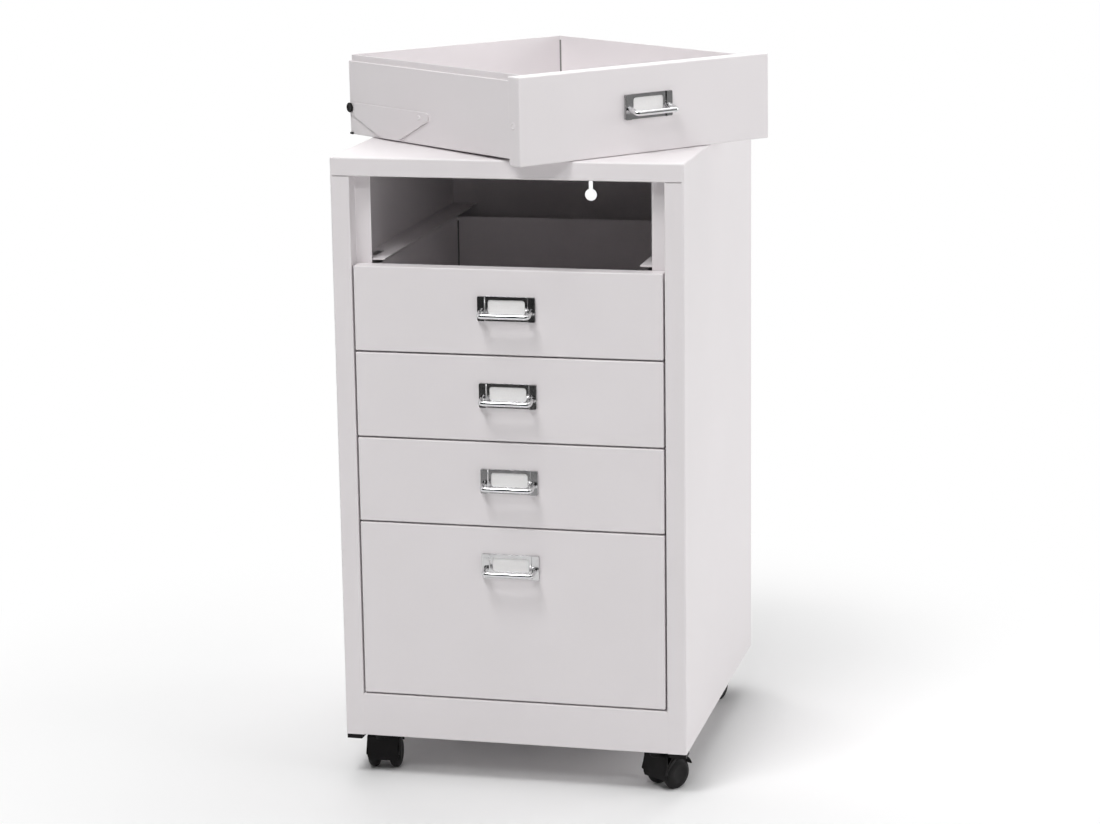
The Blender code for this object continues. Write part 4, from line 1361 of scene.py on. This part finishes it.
@dataclass
class Castor(Assembly):
    """A twin-wheel castor: hood with its web and swivel disc, and two wheels."""

    wheel_radius: float = 0.0185
    wheel_width: float = 0.014
    inner_edge: Pair = (0.0070, 0.0085)
    outer_edge: Pair = (0.0062, 0.0085)
    wheel_inner: float = 0.0056
    face_sink: float = 0.0003
    face_rim: float = 0.0014
    guard: float = 0.0004
    bore_wall: float = 0.0005
    axle_radius: float = 0.0025
    trail: float = 0.015
    hood_radius: float = 0.022
    hood_wall: float = 0.002
    hood_inset: float = 0.0004
    hood_lead: float = -12.0
    hood_trail: float = 158.0
    hood_corner: float = 0.0009
    end_ease: float = 0.06
    end_shrink: float = 0.25
    web_half: float = 0.005
    web_low: float = 0.011
    web_short: float = 8.0
    web_edge: float = 0.0005
    column: float = 0.0065
    lead_taper: float = 0.13
    lead_ease: float = 0.6
    shoulder_top: float = 0.0443
    shoulder_edge: float = 0.0026
    shoulder_taper: float = 0.05
    shoulder_foot: Pair = (0.0001, 0.002)
    shoulder_lean: float = 0.0009
    shoulder_end: Pair = (0.004, -0.0004)
    shoulder_bends: Pair = (0.0030, 0.0050)
    shoulder_sweep: Pair = (98.0, 4.0)
    swivel_top: float = 0.047
    disc_radius: float = 0.010
    disc_bore: float = 0.0036
    disc_edge: float = 0.0006
    disc_lip: float = 0.0004
    disc_sink: float = 0.0008
    clear: float = 0.0003

    def round_axle(self, radius: float, start: float, end: float, steps: int) -> np.ndarray:
        """Gives an arc round the axle in the side view, with angles in degrees up from the leading side."""
        return arc((0.0, 0.0), radius, start, end, steps) * [-1.0, 1.0] + [self.trail, self.wheel_radius]

    def shoulder_grid(self, half: float) -> np.ndarray:
        """Gives the hood's shoulder, which fills the corner between its crown and the swivel disc.

        The side view climbs in front of the wheels, runs level under the pads, falls to the crown and comes
        back along the inside of the hood. It is carried across and softened at both sides, and the upper part
        is drawn in by a share of its height.

        Args:
            half: half the hood's width.

        Returns:
            A grid of points, places across by outline by three.
        """
        top = self.shoulder_top
        front = self.trail - self.hood_radius
        crown = self.wheel_radius + self.hood_radius
        line = np.array(
            [
                [front + self.shoulder_foot[0], self.wheel_radius + self.shoulder_foot[1]],
                [front + self.shoulder_lean, top],
                [self.column, top],
                [self.trail + self.shoulder_end[0], crown + self.shoulder_end[1]],
            ]
        )
        climb = folded(line, np.array(self.shoulder_bends))
        inside = self.round_axle(self.hood_radius - self.hood_wall / 2, *self.shoulder_sweep, 16)
        outline = np.concatenate([climb, inside])
        edge = self.shoulder_edge
        angle = np.radians(np.linspace(90, 0, 6))
        inset = edge * np.concatenate([1 - np.cos(angle), 1 - np.cos(angle[::-1])])
        drop = edge * (1 - np.sin(angle))
        grid = stacked(drawn_in(outline, inset), (1, 2), np.concatenate([drop - half, half - drop[::-1]]))
        rise = np.clip((grid[..., 2] - self.wheel_radius) / (top - self.wheel_radius), 0, 1)
        grid[..., 0] *= 1 - self.shoulder_taper * rise * rise
        return grid

    def build_hood(self) -> None:
        """Moulds the hood: a rounded section carried round the axle, a web, a shoulder and a swivel disc.

        The section's corners are drawn in over small quarter circles, so the hood's rims catch the light, and
        it narrows towards the leading end.
        """
        half = self.wheel_inner + self.wheel_width - self.hood_inset
        wall = self.hood_wall
        angle = np.radians(np.linspace(self.hood_lead, self.hood_trail, 41))
        section = rectangles(np.array([[half, wall / 2]]), np.array([self.hood_corner]), steps=3)[0]
        ease = np.clip(np.minimum(angle - angle[0], angle[-1] - angle) / self.end_ease, 0, 1)
        shrink = 1 - self.end_shrink * (1 - ease) ** 2
        radius = self.hood_radius - wall / 2 + section[:, 1] * shrink[:, None]
        lead = 1 - np.clip((angle - angle[0]) / self.lead_ease, 0, 1)
        across = section[:, 0] * (1 - self.lead_taper * lead * lead)[:, None]
        along = self.trail - radius * np.cos(angle)[:, None]
        up = self.wheel_radius + radius * np.sin(angle)[:, None]
        maker = MeshMaker().shape(np.stack([across, along, up], axis=-1))
        sunk = self.hood_radius - wall / 2
        crown = self.round_axle(sunk, self.hood_lead / 2, self.hood_trail - self.web_short, 24)
        belly = self.round_axle(self.web_low, self.hood_trail, 360 + self.hood_lead, 12)
        web = np.concatenate([crown, belly])
        maker.slab(web, (1, 2), -self.web_half, self.web_half, self.web_edge)
        maker.shape(self.shoulder_grid(half))
        rings = turned(self.disc_profile(), 40)
        maker.grid(rings[..., [2, 1, 0]], around=True, across=True)
        self.add("fork", maker, self.shop.finishes.hood, Slot.PLASTIC, "hood")

    def disc_profile(self) -> np.ndarray:
        """Gives the swivel disc's profile: heights, and distances from the swivel's axis."""
        low = self.hood_radius + self.wheel_radius - self.disc_sink
        top = self.swivel_top
        rim = self.disc_radius
        edge = self.disc_edge
        return np.array(
            [
                [low, self.disc_bore],
                [low, rim - edge],
                [low + edge, rim],
                [top - self.disc_lip, rim],
                [top, rim - edge],
                [top, self.disc_bore],
            ]
        )

    def build_wheel(self, side: Side) -> None:
        """Turns a wheel: a blind bore, a full round tread of two quarter ellipses and a slightly dished face.

        Args:
            side: which of the two wheels it is.
        """
        low = self.wheel_inner
        high = low + self.wheel_width
        rim = self.wheel_radius
        bore = self.axle_radius + self.clear
        blind = high - self.bore_wall
        inner = np.array(self.inner_edge)
        outer = np.array(self.outer_edge)
        face = high - self.face_sink
        profile = np.concatenate(
            [
                [[blind, 0.0], [blind, bore], [low, bore], [low, rim - inner[1] - self.guard]],
                arc((0.0, 0.0), 1.0, 180, 90, 10) * inner + [low + inner[0], rim - inner[1]],
                arc((0.0, 0.0), 1.0, 90, 0, 12) * outer + [high - outer[0], rim - outer[1]],
                [[face, rim - outer[1] - self.face_rim], [face, 0.0]],
            ]
        )
        grid = turned(profile * [side.value, 1.0], 64) + [0.0, self.trail, self.wheel_radius]
        word = side.name.lower()
        maker = MeshMaker().grid(grid, around=True)
        body = f"{self.name}_{word}_wheel"
        self.add(f"{word}_tyre", maker, self.shop.finishes.tread, Slot.RUBBER, f"wheel_{word}", body)

    def build(self) -> None:
        """Builds the castor's pieces and dresses its plate and axle."""
        self.build_hood()
        for side in Side:
            self.build_wheel(side)
        self.shop.dress(f"{self.name}_plate", self.shop.finishes.zinc)
        self.shop.dress(f"{self.name}_axle", self.shop.finishes.zinc)


@dataclass(frozen=True)
class SoftBox:
    """A soft lamp: where it stands, what it points at, its size and its power."""

    name: str
    place: Triple
    aim: Triple
    size: Pair
    watts: float

    def make(self) -> None:
        """Hangs the lamp."""
        data = bpy.data.lights.new(self.name, "AREA")
        data.shape = "RECTANGLE"
        data.size, data.size_y = self.size
        data.energy = self.watts
        lamp = bpy.data.objects.new(self.name, data)
        way = Vector(self.place) - Vector(self.aim)
        lamp.matrix_world = Matrix.Translation(self.place) @ way.to_track_quat("Z", "Y").to_matrix().to_4x4()
        bpy.context.scene.collection.objects.link(lamp)


@dataclass(frozen=True)
class Flag:
    """A card that only reflections see, as a flag darkens chrome in a studio.

    Its lowest and highest corners lie on one upright plane, and its grey says how light it is.
    """

    name: str
    low: Triple
    high: Triple
    grey: float

    def make(self) -> None:
        """Stands the card."""
        share = np.linspace(0, 1, 2)
        across, up = np.meshgrid(share, share, indexing="ij")
        reach = np.array(self.high) - np.array(self.low)
        grid = np.array(self.low) + np.stack([across * reach[0], across * reach[1], up * reach[2]], axis=-1)
        mesh = MeshMaker().grid(grid).mesh(self.name, np.eye(4), np.array([-1.0, 1.0, 0.0]))
        material, shader = new_shader(f"{self.name}_card")
        shader.surface({"Base Color": tint((self.grey, self.grey, self.grey)), "Roughness": 1.0})
        mesh.materials.append(material)
        flag = bpy.data.objects.new(self.name, mesh)
        flag.visible_camera = False
        flag.visible_diffuse = False
        flag.visible_shadow = False
        flag.visible_transmission = False
        bpy.context.scene.collection.objects.link(flag)


@dataclass
class Studio:
    """Pale floor, soft lamps, white surroundings and the camera."""

    floor_half: float = 20.0
    floor_grey: float = 0.90
    floor_roughness: float = 0.9
    floor_fade: Pair = (0.35, 0.95)
    ambient: float = 0.08
    eye: Triple = (0.8121, -3.399, 1.1877)
    yaw: float = 13.57
    pitch: float = 12.75
    roll: float = 0.84
    focus: float = 3049.7
    picture_width: float = 1100.0
    sensor: float = 36.0
    furthest: float = 100.0
    flags: tuple[Flag, ...] = (
        Flag("front_flag", (-3.2, -1.45, 0.002), (2.2, -1.45, 1.9), 0.01),
        Flag("right_flag", (2.2, -1.2, 0.002), (2.2, 0.9, 1.9), 0.20),
    )
    lamps: tuple[SoftBox, ...] = (
        SoftBox("key", (-0.70, -1.83, 3.9), (0.0, 0.0, 0.5), (1.2, 1.2), 69.0),
        SoftBox("front", (0.05, -3.1, 3.05), (0.0, 0.0, 0.6), (0.8, 0.8), 28.0),
        SoftBox("back_top", (-0.2, 1.5, 2.6), (0.0, 0.0, 0.7), (2.6, 2.0), 44.5),
        SoftBox("right_back", (2.8, 1.3, 1.2), (0.0, 0.0, 0.4), (1.4, 1.4), 22.0),
        SoftBox("right_side", (3.0, -0.6, 1.5), (0.0, 0.0, 0.4), (1.6, 1.8), 20.0),
        SoftBox("right_front", (2.2, -2.6, 0.9), (0.0, 0.0, 0.4), (1.4, 1.2), 6.0),
        SoftBox("overhead", (0.1, -0.3, 3.2), (0.0, 0.0, 0.7), (2.4, 2.0), 11.0),
    )

    def build_world(self) -> None:
        """Surrounds the part with white for the camera and reflections, and dimmer light for the rest."""
        world = bpy.data.worlds.new("surroundings")
        world.use_nodes = True
        bpy.context.scene.world = world
        shader = Shader(world.node_tree)
        seen = shader.rays("Is Camera Ray", "Is Glossy Ray", "Is Transmission Ray")
        strength = self.ambient + (1.0 - self.ambient) * seen
        light = shader.node("ShaderNodeBackground", {}, {"Color": (1, 1, 1, 1), "Strength": strength})
        shader.node("ShaderNodeOutputWorld", {}, {"Surface": light})

    def build_floor(self) -> None:
        """Lays a pale floor that keeps the shadow near the part and goes to white further away."""
        span = np.linspace(-self.floor_half, self.floor_half, 9)
        grid = np.stack([*np.meshgrid(span, span, indexing="ij"), np.zeros((9, 9))], axis=-1)
        mesh = MeshMaker().grid(grid).mesh("floor", np.eye(4), np.array([0.0, 0.0, 1.0]))
        material, shader = new_shader("pale_floor")
        place = shader.node("ShaderNodeTexCoord", {}, {}).outputs["Object"]
        length = shader.node("ShaderNodeVectorMath", {"operation": "LENGTH"}, {0: place})
        far = shader.value(length, "Value")
        white = far.between(*self.floor_fade) * shader.rays("Is Camera Ray", "Is Glossy Ray")
        grey = tint((self.floor_grey, self.floor_grey, self.floor_grey))
        links = {"Base Color": grey, "Roughness": self.floor_roughness}
        matt = shader.node("ShaderNodeBsdfPrincipled", {}, links)
        glow = shader.node("ShaderNodeEmission", {}, {"Color": (1, 1, 1, 1), "Strength": 1.0})
        mixed = shader.node("ShaderNodeMixShader", {}, {0: white, 1: matt, 2: glow})
        shader.node("ShaderNodeOutputMaterial", {}, {"Surface": mixed})
        mesh.materials.append(material)
        floor = bpy.data.objects.new("floor", mesh)
        bpy.context.scene.collection.objects.link(floor)

    def build_camera(self) -> None:
        """Sets the camera where the photograph was taken from: yaw, then pitch, then roll."""
        data = bpy.data.cameras.new("camera")
        data.sensor_width = self.sensor
        data.lens = self.focus * self.sensor / self.picture_width
        data.clip_end = self.furthest
        camera = bpy.data.objects.new("camera", data)
        turn = Matrix.Rotation(math.radians(self.yaw), 4, "Z")
        nod = Matrix.Rotation(math.radians(90.0 - self.pitch), 4, "X")
        lean = Matrix.Rotation(math.radians(-self.roll), 4, "Z")
        camera.matrix_world = Matrix.Translation(self.eye) @ turn @ nod @ lean
        bpy.context.scene.collection.objects.link(camera)
        bpy.context.scene.camera = camera

    def build(self) -> None:
        """Builds the studio."""
        self.build_world()
        self.build_floor()
        for flag in self.flags:
            flag.make()
        self.build_camera()
        for lamp in self.lamps:
            lamp.make()
        bpy.context.scene.view_settings.view_transform = "Standard"


@dataclass
class Pedestal:
    """The whole part: the case, its drawers, the loose drawer's gear and the castors."""

    shop: Shop
    case_front: Pair = (-0.010, -0.190)
    small_height: float = 0.0964
    tall_height: float = 0.2024
    bottoms: tuple[float, float, float, float] = (0.5032, 0.4048, 0.3064, 0.1020)
    loose_place: Triple = (0.134293, -0.109771, 0.721476)
    loose_turn: float = math.radians(50.3)
    loose_tilt: float = math.atan2(0.003, 0.340)
    swivels: dict[str, Triple] = field(
        default_factory=lambda: {
            "castor_front_left": (-0.173, -0.1665, 7.0),
            "castor_front_right": (0.153, -0.1665, -33.5),
            "castor_rear_left": (-0.173, 0.185, 204.0),
            "castor_rear_right": (0.153, 0.185, 168.0),
        }
    )

    def build(self) -> None:
        """Builds every sub-assembly in order."""
        Case(self.shop).build()
        loose = moved(*self.loose_place, self.loose_turn, -self.loose_tilt)
        Drawer(self.shop, "drawer_1", loose, self.small_height).build()
        for number, bottom in enumerate(self.bottoms, 2):
            height = self.tall_height if number == 5 else self.small_height
            Drawer(self.shop, f"drawer_{number}", moved(*self.case_front, bottom), height).build()
        for side in Side:
            StopGear(self.shop, f"drawer_1_{side.name.lower()}", loose, side).build()
        for name, (x, y, angle) in self.swivels.items():
            Castor(self.shop, name, moved(x, y, 0.0, math.radians(angle))).build()


def main() -> None:
    """Loads the frame, dresses the part and sets the studio round it."""
    logging.basicConfig(level=logging.INFO, format="%(name)s: %(message)s")
    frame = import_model()
    Studio().build()
    Pedestal(Shop(frame["nodes"], Finishes())).build()


if __name__ == "__main__":
    main()
